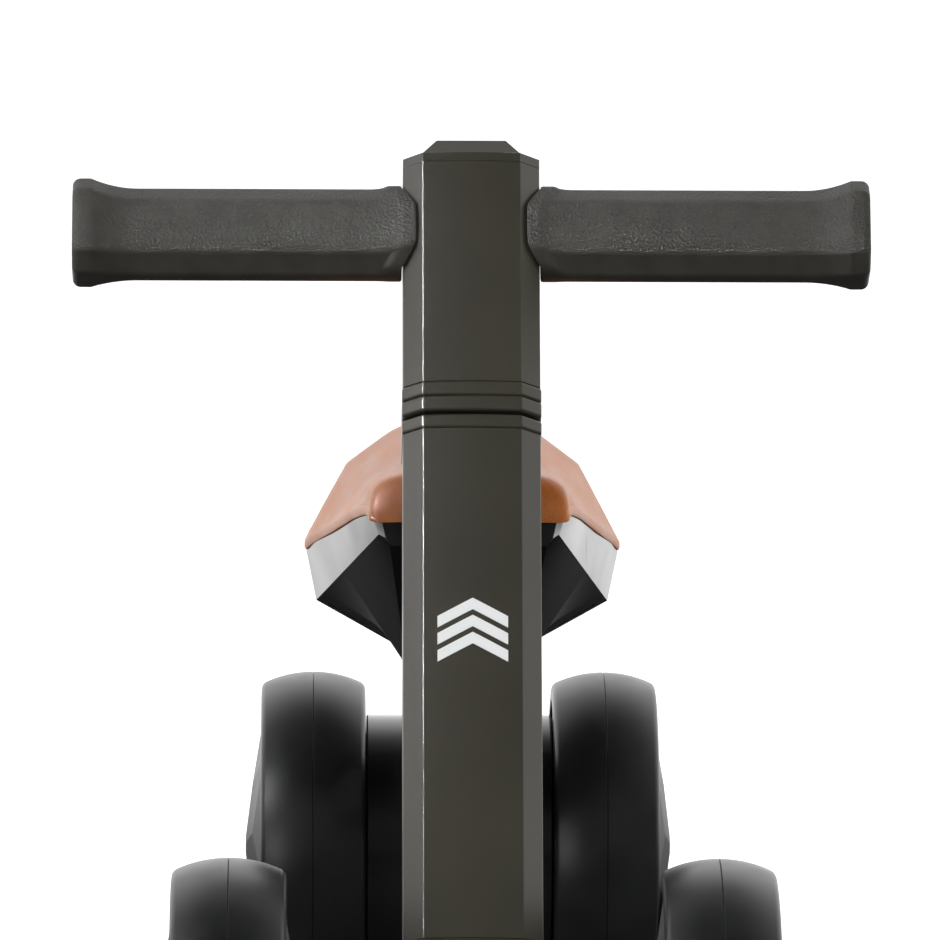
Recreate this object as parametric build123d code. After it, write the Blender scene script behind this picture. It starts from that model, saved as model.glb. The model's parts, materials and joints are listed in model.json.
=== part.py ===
from build123d import *
from math import asin, atan2, cos, degrees, pi, radians, sin, sqrt, tan
import os

# A four-wheeled toddler balance bike, in millimetres, +Z up.
# The bike faces -Y and stands on its four tyres. The origin is on the floor, under the
# centre of the wheelbase. +X is the rider's left-hand side.

os.makedirs("parts", exist_ok=True)

# ---------------------------------------------------------------- driving dimensions
# Layout
WHEELBASE = 390.0
WHEEL_RADIUS = 70.0
FRONT_TRACK = 178.0
REAR_TRACK = 117.0
HEAD_LEAN = 28.0
AXLE_LEAD = 14.0

# How far a cut runs past the face that it opens
OVERCUT = 1.0
QUARTER_TURN = 90.0

# Clearances
FIT = 0.05
SLIP = 0.1
PLATE_GAP = 0.3
SHADOW_GAP = 0.5
BEAM_GAP = 0.5
RUN_GAP = 1.1

# Octagonal tube of the stem and the head: a rectangle with 45 degree corners,
# whose front side bows out a little
TUBE_WIDTH = 51.1
TUBE_DEPTH = 51.0
TUBE_CHAMFER = 7.35
TUBE_BOW = 1.0
TUBE_WALL = 2.4
TUBE_ROUND = 0.9
TUBE_END_ROUND = 0.4

# Stack along the steering axis, from the fork crown up to the cap
CROWN_TOP = 25.6
SWIVEL_GAP = 1.4
CUP_FLANGE = 5.4
HEAD_TUBE_LENGTH = 196.8
COVER_HEIGHT = 6.0
RING_HEIGHT = 5.6
STEM_LENGTH = 87.5
CAP_SKIRT = 3.6
CAP_BEVEL = 6.8
CAP_INSET = 4.9
CAP_SIDE_INSET = 5.2
CAP_LEDGE = 0.5
CAP_ROUND = 0.4
RING_PROUD = 0.4
RING_CORNER = 1.7
RING_ROUND = 1.2

# Spigots that locate the moulded pieces in the tubes
CUP_SPIGOT = 14.0
RING_SPIGOT = 8.0
CAP_SPIGOT = 3.0

# Steerer and headset
STEERER_RADIUS = 12.7
STEERER_WALL = 3.0
STEERER_FOOT = 5.0
STEERER_TOP_MARGIN = 8.0
HEAD_BEARING_RADIUS = 18.5
HEAD_BEARING_HEIGHT = 7.0
HEAD_BEARING_SINK = 2.0
HEAD_RACE = 2.2
HEAD_BALL_RADIUS = 1.6
HEAD_BALL_COUNT = 14
RACE_SEAT_WIDTH = 1.8
CUP_THROAT = 15.0
STOP_ANGLE = 45.0
STOP_PIN_RADIUS = 1.8
STOP_PIN_ORBIT = 21.8
STOP_PIN_RISE = 3.4
STOP_PIN_SEAT = 8.0
STOP_SLOT_PLAY = 0.3

# Stem fasteners
PLUG_LENGTH = 12.0
PLUG_DROP = 3.0
STEM_BOLT_RADIUS = 3.0
STEM_BOLT_HOLE = 3.2
STEM_BOLT_HEAD_RADIUS = 5.0
STEM_BOLT_HEAD = 6.0
STEM_BOLT_SINK = 7.0
STEM_BOLT_SOCKET = 5.0

# Handlebar
BAR_WIDTH = 298.2
BAR_BELOW_STEM_TOP = 24.4
BAR_FORWARD = 12.0
BAR_RADIUS = 8.0
BAR_WALL = 2.0
BAR_SCREW_RADIUS = 2.0
BAR_SCREW_HEAD_RADIUS = 3.6
BAR_SCREW_HEAD = 3.0
BAR_SCREW_SINK = 5.0
BAR_SCREW_SOCKET = 3.0
GRIP_HEIGHT = 33.6
GRIP_DEPTH = 20.0
GRIP_CHAMFER = 7.0
GRIP_ROUND = 2.2
GRIP_END_WALL = 8.0
END_FLANGE_HEIGHT = 38.0
END_FLANGE_DEPTH = 30.0
END_FLANGE_THICKNESS = 6.8
END_FLARE_LENGTH = 17.5
END_FLARE_BELLY = 0.22
ROOT_HEIGHT = 36.8
ROOT_DEPTH = 24.0
ROOT_CHAMFER_DEPTH = 6.4
ROOT_CHAMFER_HEIGHT = 10.6
ROOT_ROUND = 3.0
ROOT_WIDTH = 1.0
ROOT_FLARE_LENGTH = 6.0
GRIP_SCREW_INSET = 20.4
GRIP_SCREW_RADIUS = 2.0
GRIP_SCREW_HEAD_RADIUS = 3.6
GRIP_SCREW_HEAD = 3.0
GRIP_SCREW_SINK = 2.6
GRIP_SCREW_SOCKET = 3.0

# Fork crown and its two arms
CROWN_FOOT = 38.0
CROWN_FOOT_CHAMFER = 4.0
ARM_ROOT_SIZE = 40.0
ARM_ROOT_CHAMFER = 10.0
ARM_TIP_SIZE = 28.0
ARM_TIP_CHAMFER = 7.0
ARM_ROUND = 1.5
AXLE_RADIUS = 4.0
AXLE_END = 22.5

# Wheels
TYRE_WIDTH = 42.0
TYRE_BORE_RADIUS = 58.5
TREAD_CROWN_RADIUS = 46.0
TYRE_SHOULDER_WIDTH = 41.2
TYRE_SHOULDER_ROUND = 1.8
TYRE_BELLY_HEIGHT = 2.6
TYRE_BELLY_ROUND = 3.0
TYRE_LIP_ROUND = 0.8
RIM_HALF_WIDTH = 16.0
RIM_BARREL = 5.0
RIM_RIB_HEIGHT = 2.5
RIM_RIB_WIDTH = 8.0
WEB_THICKNESS = 5.0
WEB_HOLE_RADIUS = 9.0
WEB_HOLE_ORBIT = 34.0
HUB_RADIUS = 15.0
HUB_HALF_LENGTH = 13.0
HUB_THROAT = 8.5
DISC_RADIUS = 57.6
DISC_WALL = 2.4
DISC_APEX = 6.6
DISC_FLAT = 6.15
DISC_RIM_SINK = 1.5
DISC_VERTEX_RADIUS = 26.0
DISC_POINTS = 6
DISC_TURN = 8.5
DISC_HOLE = 8.0
PEG_COUNT = 3
PEG_ORBIT = 40.0
PEG_RADIUS = 2.45
PEG_REACH = 8.0
BOSS_RADIUS = 4.6
BOSS_MARGIN = 1.0
WHEEL_BEARING_RADIUS = 11.0
WHEEL_BEARING_WIDTH = 7.0
WHEEL_RACE = 1.6
WHEEL_BALL_RADIUS = 1.6
WHEEL_BALL_COUNT = 8
BALL_GAP = 0.3
SPACER_RADIUS = 6.0
NUT_ACROSS_FLATS = 13.0
NUT_HEIGHT = 6.5
WASHER_RADIUS = 5.8
WASHER_THICKNESS = 1.4

# Frame beam, a bent box that carries the seat
BEAM_WIDTH = 42.0
BEAM_CHAMFER = 6.0
BEAM_WALL = 2.5
BEAM_DEPTH = 42.0
BEAM_FRONT_TOP = 231.0
BEAM_FRONT_DEPTH = 58.0
BEAM_SADDLE_HEIGHT = 168.0
BEAM_SADDLE_WIDTH = 45.0
BEAM_LUG_RADIUS = 20.0
BEAM_OUTER_BEND = 22.0

# Housing between the rear wheels
DRUM_RADIUS = 52.6
DRUM_WALL = 3.0
DRUM_ROUND = 0.6
DRUM_BOSS_RADIUS = 5.0
DRUM_BOSS_ORBIT = 40.0
DRUM_SCREW_RADIUS = 2.0
DRUM_SCREW_HEAD_RADIUS = 3.8
DRUM_SCREW_HEAD = 2.6
DRUM_SCREW_END = 6.0
DRUM_SCREW_FLOOR = 2.0
DRUM_HUB_RADIUS = 12.0

# Seat, as ribs across it from the nose to the tail. The nose stands clear of the head tube
# by the first value, and the others lie that far behind the nose
SEAT_HEAD_GAP = 10.7
SEAT_SHOULDER_BACK = 9.0
BEAM_BEND_BACK = 12.0
SADDLE_FRONT_BACK = 97.0
SADDLE_REAR_BACK = 147.0
SEAT_WIDE_BACK = 169.0
SEAT_RUMP_BACK = 202.0
SEAT_TAIL_BACK = 226.0

# Each rib's half widths, and its heights as they stack up from the beam: the keel above the
# beam's saddle, the foot of the side wall above the keel, the edge that the pad meets above
# the foot, and the crown of the pad above that edge
NOSE_KEEL_WIDTH = 29.0
NOSE_FOOT_WIDTH = 31.5
NOSE_FOOT_RISE = 3.0
NOSE_EDGE_WIDTH = 33.0
NOSE_EDGE_RISE = 6.5
NOSE_CROWN_RISE = 13.5
SHOULDER_KEEL_WIDTH = 30.0
SHOULDER_FOOT_WIDTH = 34.0
SHOULDER_FOOT_RISE = 3.0
SHOULDER_EDGE_WIDTH = 37.4
SHOULDER_EDGE_RISE = 9.5
SHOULDER_CROWN_RISE = 13.5
WIDE_KEEL_WIDTH = 23.3
WIDE_KEEL_DROP = 5.6
WIDE_FOOT_WIDTH = 57.5
WIDE_FOOT_RISE = 19.4
WIDE_EDGE_WIDTH = 62.0
WIDE_EDGE_RISE = 22.4
WIDE_CROWN_RISE = 49.3
RUMP_KEEL_WIDTH = 26.0
RUMP_KEEL_RISE = 10.0
RUMP_FOOT_WIDTH = 52.5
RUMP_FOOT_RISE = 10.0
RUMP_EDGE_WIDTH = 58.5
RUMP_EDGE_RISE = 18.0
RUMP_CROWN_RISE = 40.0
TAIL_KEEL_WIDTH = 28.0
TAIL_KEEL_RISE = 28.0
TAIL_FOOT_WIDTH = 38.0
TAIL_FOOT_RISE = 3.0
TAIL_EDGE_WIDTH = 43.0
TAIL_EDGE_RISE = 14.0
TAIL_CROWN_RISE = 23.0

# The tub's wall, and the shares of it by which the corners move in to make the hollow
SEAT_WALL = 3.0
KEEL_INSET = 0.8
FOOT_INSET = 1.1
FOOT_RISE = 0.3
PAD_WRAP = 3.0
PAD_WRAP_ROUND = 2.5
PAD_THICKNESS = 12.0
PAD_LIP = 1.2
PAD_EDGE = 4.5
ARCH_KINK_WIDTH = 0.735
ARCH_KINK_FALL = 0.385
NOSE_KINK_WIDTH = 0.88
NOSE_KINK_FALL = 0.45
ARCH_POWER = 3.5
ARCH_SHARES = (0.0, 0.4, 0.65, 0.85, 1.0)
BOARD_THICKNESS = 2.0
SEAT_BOLT_RADIUS = 2.5
SEAT_BOLT_HEAD_RADIUS = 4.5
SEAT_BOLT_HEAD = 4.0
SEAT_BOLT_SPACING_X = 18.0
SEAT_BOLT_SPACING_Y = 30.0
SEAT_BOLT_LENGTH = 14.0
VENT_LENGTH = 14.0
VENT_WIDTH = 3.0
VENT_TIP_MARGIN = 5.0

# Printed mark on the front of the head tube: three chevrons
MARK_STATION = 149.0
MARK_WIDTH = 26.0
MARK_STROKE = 4.4
MARK_RISE = 7.0
MARK_PITCH = 6.6
MARK_COUNT = 3
MARK_THICKNESS = 0.25
MARK_LIFT = 0.02

# ---------------------------------------------------------------- derived places
FRONT_AXLE_Y = -WHEELBASE / 2
REAR_AXLE_Y = WHEELBASE / 2
AXLE_Z = WHEEL_RADIUS
LEAN = radians(HEAD_LEAN)

# The steering frame: its origin is on the steering axis at axle height, its Z runs up the
# axis, and its Y points back and down, square to the axis
STEER = Plane(
    origin=(0, FRONT_AXLE_Y + AXLE_LEAD, AXLE_Z),
    x_dir=(1, 0, 0),
    z_dir=(0, sin(LEAN), cos(LEAN)),
)
AXLE_Y_LOCAL = -AXLE_LEAD * cos(LEAN)
AXLE_S_LOCAL = -AXLE_LEAD * sin(LEAN)

LOWER_CUP_BASE = CROWN_TOP + SWIVEL_GAP
HEAD_BASE = LOWER_CUP_BASE + CUP_FLANGE
HEAD_TOP = HEAD_BASE + HEAD_TUBE_LENGTH
UPPER_CUP_TOP = HEAD_TOP + CUP_FLANGE
COVER_BASE = UPPER_CUP_TOP + SWIVEL_GAP
RING_BASE = COVER_BASE + COVER_HEIGHT
STEM_BASE = RING_BASE + RING_HEIGHT
STEM_TOP = STEM_BASE + STEM_LENGTH
BAR_S = STEM_TOP - BAR_BELOW_STEM_TOP
STEERER_TOP = BAR_S - BAR_RADIUS - STEERER_TOP_MARGIN
INSERT_TOP = STEM_TOP - CAP_SPIGOT
LOWER_BEARING_BASE = LOWER_CUP_BASE + HEAD_BEARING_SINK
UPPER_BEARING_TOP = UPPER_CUP_TOP - HEAD_BEARING_SINK
UPPER_BEARING_BASE = UPPER_BEARING_TOP - HEAD_BEARING_HEIGHT
RACE_SEAT_RADIUS = STEERER_RADIUS + RACE_SEAT_WIDTH
HALF_BAR = BAR_WIDTH / 2
HALF_TYRE = TYRE_WIDTH / 2
ARM_END = FRONT_TRACK / 2 - HALF_TYRE - DISC_FLAT - RUN_GAP
CORNER_GROWTH = 2 - sqrt(2)

SHOULDER_CROWN = BEAM_FRONT_TOP + SHOULDER_FOOT_RISE + SHOULDER_EDGE_RISE + SHOULDER_CROWN_RISE
HEAD_BACK = STEER.origin.Y + (SHOULDER_CROWN - AXLE_Z) * tan(LEAN) + TUBE_DEPTH / 2 / cos(LEAN)
SEAT_NOSE_Y = HEAD_BACK + SEAT_HEAD_GAP
SEAT_SHOULDER_Y = SEAT_NOSE_Y + SEAT_SHOULDER_BACK
SEAT_WIDE_Y = SEAT_NOSE_Y + SEAT_WIDE_BACK
SEAT_RUMP_Y = SEAT_NOSE_Y + SEAT_RUMP_BACK
SEAT_TAIL_Y = SEAT_NOSE_Y + SEAT_TAIL_BACK
BEAM_TOP_BEND_Y = SEAT_NOSE_Y + BEAM_BEND_BACK
BEAM_SADDLE_FRONT_Y = SEAT_NOSE_Y + SADDLE_FRONT_BACK
BEAM_SADDLE_REAR_Y = SEAT_NOSE_Y + SADDLE_REAR_BACK


# ---------------------------------------------------------------- helpers
def save(node, shape, place=None):
    """Writes one node, moved into the bike's frame when it was built in another one."""
    if place is not None:
        shape = place * shape
    export_step(shape, f"parts/{node}.step")


def octagon(width, depth, chamfer, bow=0.0):
    """A rectangle with 45 degree corners whose -Y side bows out by `bow`."""
    half_w = width / 2
    half_d = depth / 2
    flat = half_w - chamfer
    front = bow - half_d
    sides = Polyline(
        (flat, front),
        (half_w, front + chamfer),
        (half_w, half_d - chamfer),
        (flat, half_d),
        (-flat, half_d),
        (-half_w, half_d - chamfer),
        (-half_w, front + chamfer),
        (-flat, front),
    )
    if bow:
        nose = ThreePointArc((-flat, front), (0, -half_d), (flat, front))
    else:
        nose = Line((-flat, front), (flat, front))
    return make_face(sides.edges() + [nose.edge()])


def rounded(face, radius):
    """The same face with its corners rounded."""
    return fillet(face.vertices(), radius)


def tube_section(grow=0.0, corner=0.0):
    """The octagon of the stem and head tube, grown or shrunk by an even wall."""
    face = octagon(
        TUBE_WIDTH + 2 * grow,
        TUBE_DEPTH + 2 * grow,
        TUBE_CHAMFER + CORNER_GROWTH * grow,
        TUBE_BOW,
    )
    return rounded(face, corner) if corner else face


def prism(face, base, top):
    """The face, drawn on XY, pulled along Z from base to top."""
    return extrude(Pos(0, 0, base) * face, top - base)


def rod(radius, base, top):
    """A round bar along Z."""
    return Pos(0, 0, base) * Cylinder(radius, top - base, align=(Align.CENTER, Align.CENTER, Align.MIN))


def pipe(outer, inner, base, top):
    """A round tube along Z."""
    return rod(outer, base, top) - rod(inner, base, top)


def hexagon(across_flats, base, top):
    """A hexagonal bar along Z."""
    face = RegularPolygon(across_flats / 2, 6, major_radius=False)
    return prism(face, base, top)


def along_x(shape):
    """Turns a piece built along Z so that it lies along X."""
    return Rot(0, QUARTER_TURN, 0) * shape


def at_bar(shape):
    """Places a piece built round the X axis on the handlebar's centre line."""
    return Pos(0, -BAR_FORWARD, BAR_S) * shape


def socket_screw(radius, tip, seat, head_radius, head, socket):
    """A screw along Z from its tip, with a socket head that stands on its seat."""
    screw = rod(radius, tip, seat) + rod(head_radius, seat, seat + head)
    return screw - hexagon(socket, seat + head / 2, seat + head + OVERCUT)


def bar_bore():
    return at_bar(along_x(rod(BAR_RADIUS + FIT, -TUBE_WIDTH, TUBE_WIDTH)))


def around(count, radius, start=0.0):
    """Places spread evenly on a circle about Z."""
    return [Rot(0, 0, start + 360 * k / count) * Pos(radius, 0, 0) for k in range(count)]


def end_edges(shape, height):
    """The edges of a prism that lie at one height."""
    return shape.edges().filter_by(lambda edge: abs(edge.center().Z - height) < 1e-4
                                   and abs(edge.bounding_box().size.Z) < 1e-4)


def pairs(solids):
    """Each solid of the left side with its mirror image, as one group of solids."""
    return Compound(children=solids + [mirror(solid, about=Plane.YZ) for solid in solids])


# ---------------------------------------------------------------- bearings
def bearing(bore, outer, width, race, ball, count):
    """A ball bearing along Z from 0: its inner ring, and its outer ring with the balls."""
    pitch = (bore + race + outer - race) / 2
    groove = Pos(0, 0, width / 2) * Torus(pitch, ball + BALL_GAP)
    inner = pipe(bore + race, bore + FIT, 0, width) - groove
    outer_ring = pipe(outer - FIT, outer - race, 0, width) - groove
    balls = [place * Pos(0, 0, width / 2) * Sphere(ball) for place in around(count, pitch)]
    return inner, [outer_ring] + balls


def head_bearing():
    return bearing(
        STEERER_RADIUS,
        HEAD_BEARING_RADIUS,
        HEAD_BEARING_HEIGHT,
        HEAD_RACE,
        HEAD_BALL_RADIUS,
        HEAD_BALL_COUNT,
    )


def wheel_bearing():
    return bearing(
        AXLE_RADIUS,
        WHEEL_BEARING_RADIUS,
        WHEEL_BEARING_WIDTH,
        WHEEL_RACE,
        WHEEL_BALL_RADIUS,
        WHEEL_BALL_COUNT,
    )


# ---------------------------------------------------------------- stem and headset
def proud_ring(base, top):
    """One of the flanges that stand a little proud of the tube, with rounded edges."""
    ring = prism(tube_section(RING_PROUD, RING_CORNER), base, top)
    return fillet(end_edges(ring, base) + end_edges(ring, top), RING_ROUND)


def octagon_tube(base, top):
    """A length of the octagonal tube, hollow, with lightly rounded ends."""
    outer = prism(tube_section(0, TUBE_ROUND), base, top)
    outer = fillet(end_edges(outer, base) + end_edges(outer, top), TUBE_END_ROUND)
    return outer - prism(tube_section(-TUBE_WALL), base - OVERCUT, top + OVERCUT)


def plug_section():
    """What fits inside the octagonal tube."""
    return tube_section(-TUBE_WALL - SLIP)


def upper_stem():
    return octagon_tube(STEM_BASE, STEM_TOP) - bar_bore()


def stem_insert():
    """The moulded core that grips the steerer, holds the bar and takes both screws."""
    core = prism(plug_section(), STEM_BASE + RING_SPIGOT, INSERT_TOP)
    core -= rod(STEERER_RADIUS + FIT, STEM_BASE, STEERER_TOP + OVERCUT)
    core -= bar_bore()
    core -= at_bar(rod(BAR_SCREW_RADIUS + SLIP, 0, INSERT_TOP - BAR_S))
    core -= at_bar(rod(BAR_SCREW_HEAD_RADIUS + SLIP, bar_screw_seat(), INSERT_TOP + OVERCUT - BAR_S))
    core -= rod(STEM_BOLT_HOLE, STEERER_TOP, INSERT_TOP)
    core -= rod(STEM_BOLT_HEAD_RADIUS + SLIP, INSERT_TOP - STEM_BOLT_SINK, INSERT_TOP + OVERCUT)
    return core


def stem_cap():
    """An octagonal plate with a bevelled crest as wide as the tube's flat front."""
    skirt_top = STEM_TOP + CAP_SKIRT
    crest_width = TUBE_WIDTH - 2 * TUBE_CHAMFER
    crest_depth = TUBE_DEPTH - 2 * (TUBE_BOW + CAP_LEDGE)
    lower = Pos(0, 0, skirt_top) * Rectangle(crest_width, crest_depth)
    upper = Rectangle(crest_width - 2 * CAP_SIDE_INSET, crest_depth - 2 * CAP_INSET)
    skirt = prism(tube_section(0), STEM_TOP, skirt_top)
    skirt = fillet(end_edges(skirt, skirt_top), CAP_ROUND)
    crest = loft([lower, Pos(0, 0, skirt_top + CAP_BEVEL) * upper], ruled=True)
    crest = fillet(crest.edges().filter_by(lambda edge: edge.center().Z > skirt_top + CAP_ROUND), CAP_ROUND)
    return skirt + crest + prism(plug_section(), INSERT_TOP, STEM_TOP)


def stem_bolt():
    return socket_screw(
        STEM_BOLT_RADIUS,
        STEERER_TOP - PLUG_DROP - PLUG_LENGTH,
        INSERT_TOP - STEM_BOLT_SINK,
        STEM_BOLT_HEAD_RADIUS,
        STEM_BOLT_HEAD,
        STEM_BOLT_SOCKET,
    )


def stem_ring():
    ring = proud_ring(RING_BASE, STEM_BASE)
    ring += prism(plug_section(), STEM_BASE, STEM_BASE + RING_SPIGOT)
    return ring - rod(STEERER_RADIUS + FIT, RING_BASE - OVERCUT, STEM_BASE + RING_SPIGOT + OVERCUT)


def bearing_cover():
    cover = proud_ring(COVER_BASE, RING_BASE)
    cover += rod(RACE_SEAT_RADIUS, UPPER_BEARING_TOP, RING_BASE)
    return cover - rod(STEERER_RADIUS + FIT, UPPER_BEARING_TOP - OVERCUT, RING_BASE + OVERCUT)


def steerer_tube():
    return pipe(STEERER_RADIUS, STEERER_RADIUS - STEERER_WALL, STEERER_FOOT, STEERER_TOP)


def steerer_plug():
    top = STEERER_TOP - PLUG_DROP
    radius = STEERER_RADIUS - STEERER_WALL - FIT
    return pipe(radius, STEM_BOLT_RADIUS + FIT, top - PLUG_LENGTH, top)


def upper_bearing_cup():
    """The flange on top of the head tube, with its spigot and the bearing seat."""
    cup = proud_ring(HEAD_TOP, UPPER_CUP_TOP)
    cup += prism(plug_section(), HEAD_TOP - CUP_SPIGOT, HEAD_TOP)
    cup -= rod(HEAD_BEARING_RADIUS, UPPER_BEARING_BASE, UPPER_CUP_TOP + OVERCUT)
    return cup - rod(CUP_THROAT, HEAD_TOP - CUP_SPIGOT - OVERCUT, UPPER_CUP_TOP)


def stop_slot():
    """The arc that the stop pin runs in: it ends the steering at both limits."""
    play = STOP_PIN_RADIUS + STOP_SLOT_PLAY
    reach = STOP_ANGLE + degrees(asin(play / STOP_PIN_ORBIT))
    arc = CenterArc((0, 0), STOP_PIN_ORBIT, QUARTER_TURN - reach, 2 * reach)
    outline = make_face(offset(arc, play, side=Side.BOTH).edges())
    return prism(outline, LOWER_CUP_BASE - OVERCUT, LOWER_CUP_BASE + STOP_PIN_RISE + 2 * STOP_SLOT_PLAY)


def lower_bearing_cup():
    cup = proud_ring(LOWER_CUP_BASE, HEAD_BASE)
    cup += prism(plug_section(), HEAD_BASE, HEAD_BASE + CUP_SPIGOT)
    cup -= rod(HEAD_BEARING_RADIUS, LOWER_CUP_BASE - OVERCUT, LOWER_BEARING_BASE + HEAD_BEARING_HEIGHT)
    cup -= rod(CUP_THROAT, LOWER_CUP_BASE, HEAD_BASE + CUP_SPIGOT + OVERCUT)
    return cup - stop_slot()


def head_tube():
    return octagon_tube(HEAD_BASE, HEAD_TOP)


def front_mark():
    """Three thin chevrons printed on the bowed front of the head tube."""
    half = MARK_WIDTH / 2
    stroke = Polyline(
        (-half, 0),
        (0, MARK_RISE),
        (half, 0),
        (half, -MARK_STROKE),
        (0, MARK_RISE - MARK_STROKE),
        (-half, -MARK_STROKE),
        close=True,
    )
    skin = prism(tube_section(MARK_LIFT + MARK_THICKNESS), HEAD_BASE, HEAD_TOP)
    skin -= prism(tube_section(MARK_LIFT), HEAD_BASE, HEAD_TOP)
    front = Plane(origin=(0, 0, MARK_STATION), x_dir=(1, 0, 0), z_dir=(0, -1, 0))
    marks = []
    for k in range(MARK_COUNT):
        rise = (k - (MARK_COUNT - 1) / 2) * MARK_PITCH
        bar = extrude(front * Pos(0, rise, 0) * make_face(stroke.edges()), TUBE_DEPTH)
        marks += (bar & skin).solids()
    return Compound(children=marks)


def stop_pin():
    return Pos(0, STOP_PIN_ORBIT, 0) * rod(
        STOP_PIN_RADIUS, CROWN_TOP - STOP_PIN_SEAT, LOWER_CUP_BASE + STOP_PIN_RISE
    )


# ---------------------------------------------------------------- handlebar
def across(x):
    """The plane square to the bar at x: sketch X runs back, sketch Y up the stem."""
    return Plane(origin=(x, -BAR_FORWARD, BAR_S), x_dir=(0, 1, 0), z_dir=(1, 0, 0))


def grip_section(height, depth):
    return rounded(octagon(depth, height, GRIP_CHAMFER), GRIP_ROUND)


def root_section():
    """The collar of the grip where it meets the stem: flatter corners than the grip."""
    half_d = ROOT_DEPTH / 2
    half_h = ROOT_HEIGHT / 2
    flat_d = half_d - ROOT_CHAMFER_DEPTH
    flat_h = half_h - ROOT_CHAMFER_HEIGHT
    face = make_face(
        Polyline(
            (flat_d, -half_h),
            (half_d, -flat_h),
            (half_d, flat_h),
            (flat_d, half_h),
            (-flat_d, half_h),
            (-half_d, flat_h),
            (-half_d, -flat_h),
            (-flat_d, -half_h),
            close=True,
        ).edges()
    )
    return rounded(face, ROOT_ROUND)


def grip_screw_cut():
    """Clears the grip screw and its head, seen from the grip's underside."""
    seat = GRIP_HEIGHT / 2 - GRIP_SCREW_SINK
    hole = rod(GRIP_SCREW_RADIUS + SLIP, 0, seat + OVERCUT)
    return hole + rod(GRIP_SCREW_HEAD_RADIUS + 2 * SLIP, seat, GRIP_HEIGHT)


def at_grip_screw(shape):
    """Places a piece built along +Z so that it points down out of the left grip."""
    return at_bar(Pos(HALF_BAR - GRIP_SCREW_INSET, 0, 0) * Rot(2 * QUARTER_TURN, 0, 0) * shape)


def left_grip():
    body = grip_section(GRIP_HEIGHT, GRIP_DEPTH)
    growth_h = END_FLANGE_HEIGHT - GRIP_HEIGHT
    growth_d = END_FLANGE_DEPTH - GRIP_DEPTH
    belly = grip_section(GRIP_HEIGHT + END_FLARE_BELLY * growth_h, GRIP_DEPTH + END_FLARE_BELLY * growth_d)
    flange = grip_section(END_FLANGE_HEIGHT, END_FLANGE_DEPTH)
    root = root_section()
    side = TUBE_WIDTH / 2
    root_out = side + SHADOW_GAP + ROOT_WIDTH
    root_in = side - TUBE_CHAMFER
    body_in = root_out + ROOT_FLARE_LENGTH
    flange_in = HALF_BAR - END_FLANGE_THICKNESS
    body_out = flange_in - END_FLARE_LENGTH
    belly_x = body_out + END_FLARE_LENGTH / 2
    grip = extrude(across(root_in) * root, root_out - root_in)
    grip += loft([across(root_out) * root, across(body_in) * body], ruled=True)
    grip += extrude(across(body_in) * body, body_out - body_in)
    grip += loft([across(body_out) * body, across(belly_x) * belly], ruled=True)
    grip += loft([across(belly_x) * belly, across(flange_in) * flange], ruled=True)
    grip += extrude(across(flange_in) * flange, END_FLANGE_THICKNESS)
    grip -= prism(tube_section(SHADOW_GAP), STEM_BASE, STEM_TOP)
    grip -= at_bar(along_x(rod(BAR_RADIUS + FIT, 0, HALF_BAR - GRIP_END_WALL)))
    return grip - at_grip_screw(grip_screw_cut())


def grip_screw():
    screw = socket_screw(
        GRIP_SCREW_RADIUS,
        BAR_RADIUS - BAR_WALL,
        GRIP_HEIGHT / 2 - GRIP_SCREW_SINK,
        GRIP_SCREW_HEAD_RADIUS,
        GRIP_SCREW_HEAD,
        GRIP_SCREW_SOCKET,
    )
    return at_grip_screw(screw)


def bar_screw_seat():
    """How high the bar screw's head sits over the handlebar's centre."""
    return INSERT_TOP - BAR_SCREW_SINK - BAR_S


def bar_screw():
    """Keeps the handlebar from turning and sliding in the stem."""
    screw = socket_screw(
        BAR_SCREW_RADIUS,
        BAR_RADIUS - BAR_WALL,
        bar_screw_seat(),
        BAR_SCREW_HEAD_RADIUS,
        BAR_SCREW_HEAD,
        BAR_SCREW_SOCKET,
    )
    return at_bar(screw)


def handlebar_core():
    """The steel tube that runs through the stem and inside both grips."""
    half = HALF_BAR - GRIP_END_WALL
    core = at_bar(along_x(pipe(BAR_RADIUS, BAR_RADIUS - BAR_WALL, -half, half)))
    core -= at_bar(rod(BAR_SCREW_RADIUS + FIT, 0, GRIP_HEIGHT))
    screw_hole = at_grip_screw(rod(GRIP_SCREW_RADIUS + FIT, 0, GRIP_HEIGHT))
    return core - screw_hole - mirror(screw_hole, about=Plane.YZ)


# ---------------------------------------------------------------- fork and axles
def at_front_axle(shape):
    """Places a piece built about X through the origin on the front axle's line."""
    return Pos(0, AXLE_Y_LOCAL, AXLE_S_LOCAL) * shape


def fork_arm():
    """The left arm: an octagonal taper from the crown out to the wheel."""
    root = rounded(octagon(ARM_ROOT_SIZE, ARM_ROOT_SIZE, ARM_ROOT_CHAMFER), ARM_ROUND)
    tip = rounded(octagon(ARM_TIP_SIZE, ARM_TIP_SIZE, ARM_TIP_CHAMFER), ARM_ROUND)
    x_root = TUBE_WIDTH / 2 - TUBE_CHAMFER
    root_plane = Plane(origin=(x_root, 0, 0), x_dir=(0, 1, 0), z_dir=(1, 0, 0))
    tip_plane = Plane(origin=(ARM_END, 0, 0), x_dir=(0, 1, 0), z_dir=(1, 0, 0))
    return at_front_axle(loft([root_plane * root, tip_plane * tip], ruled=True))


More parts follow.
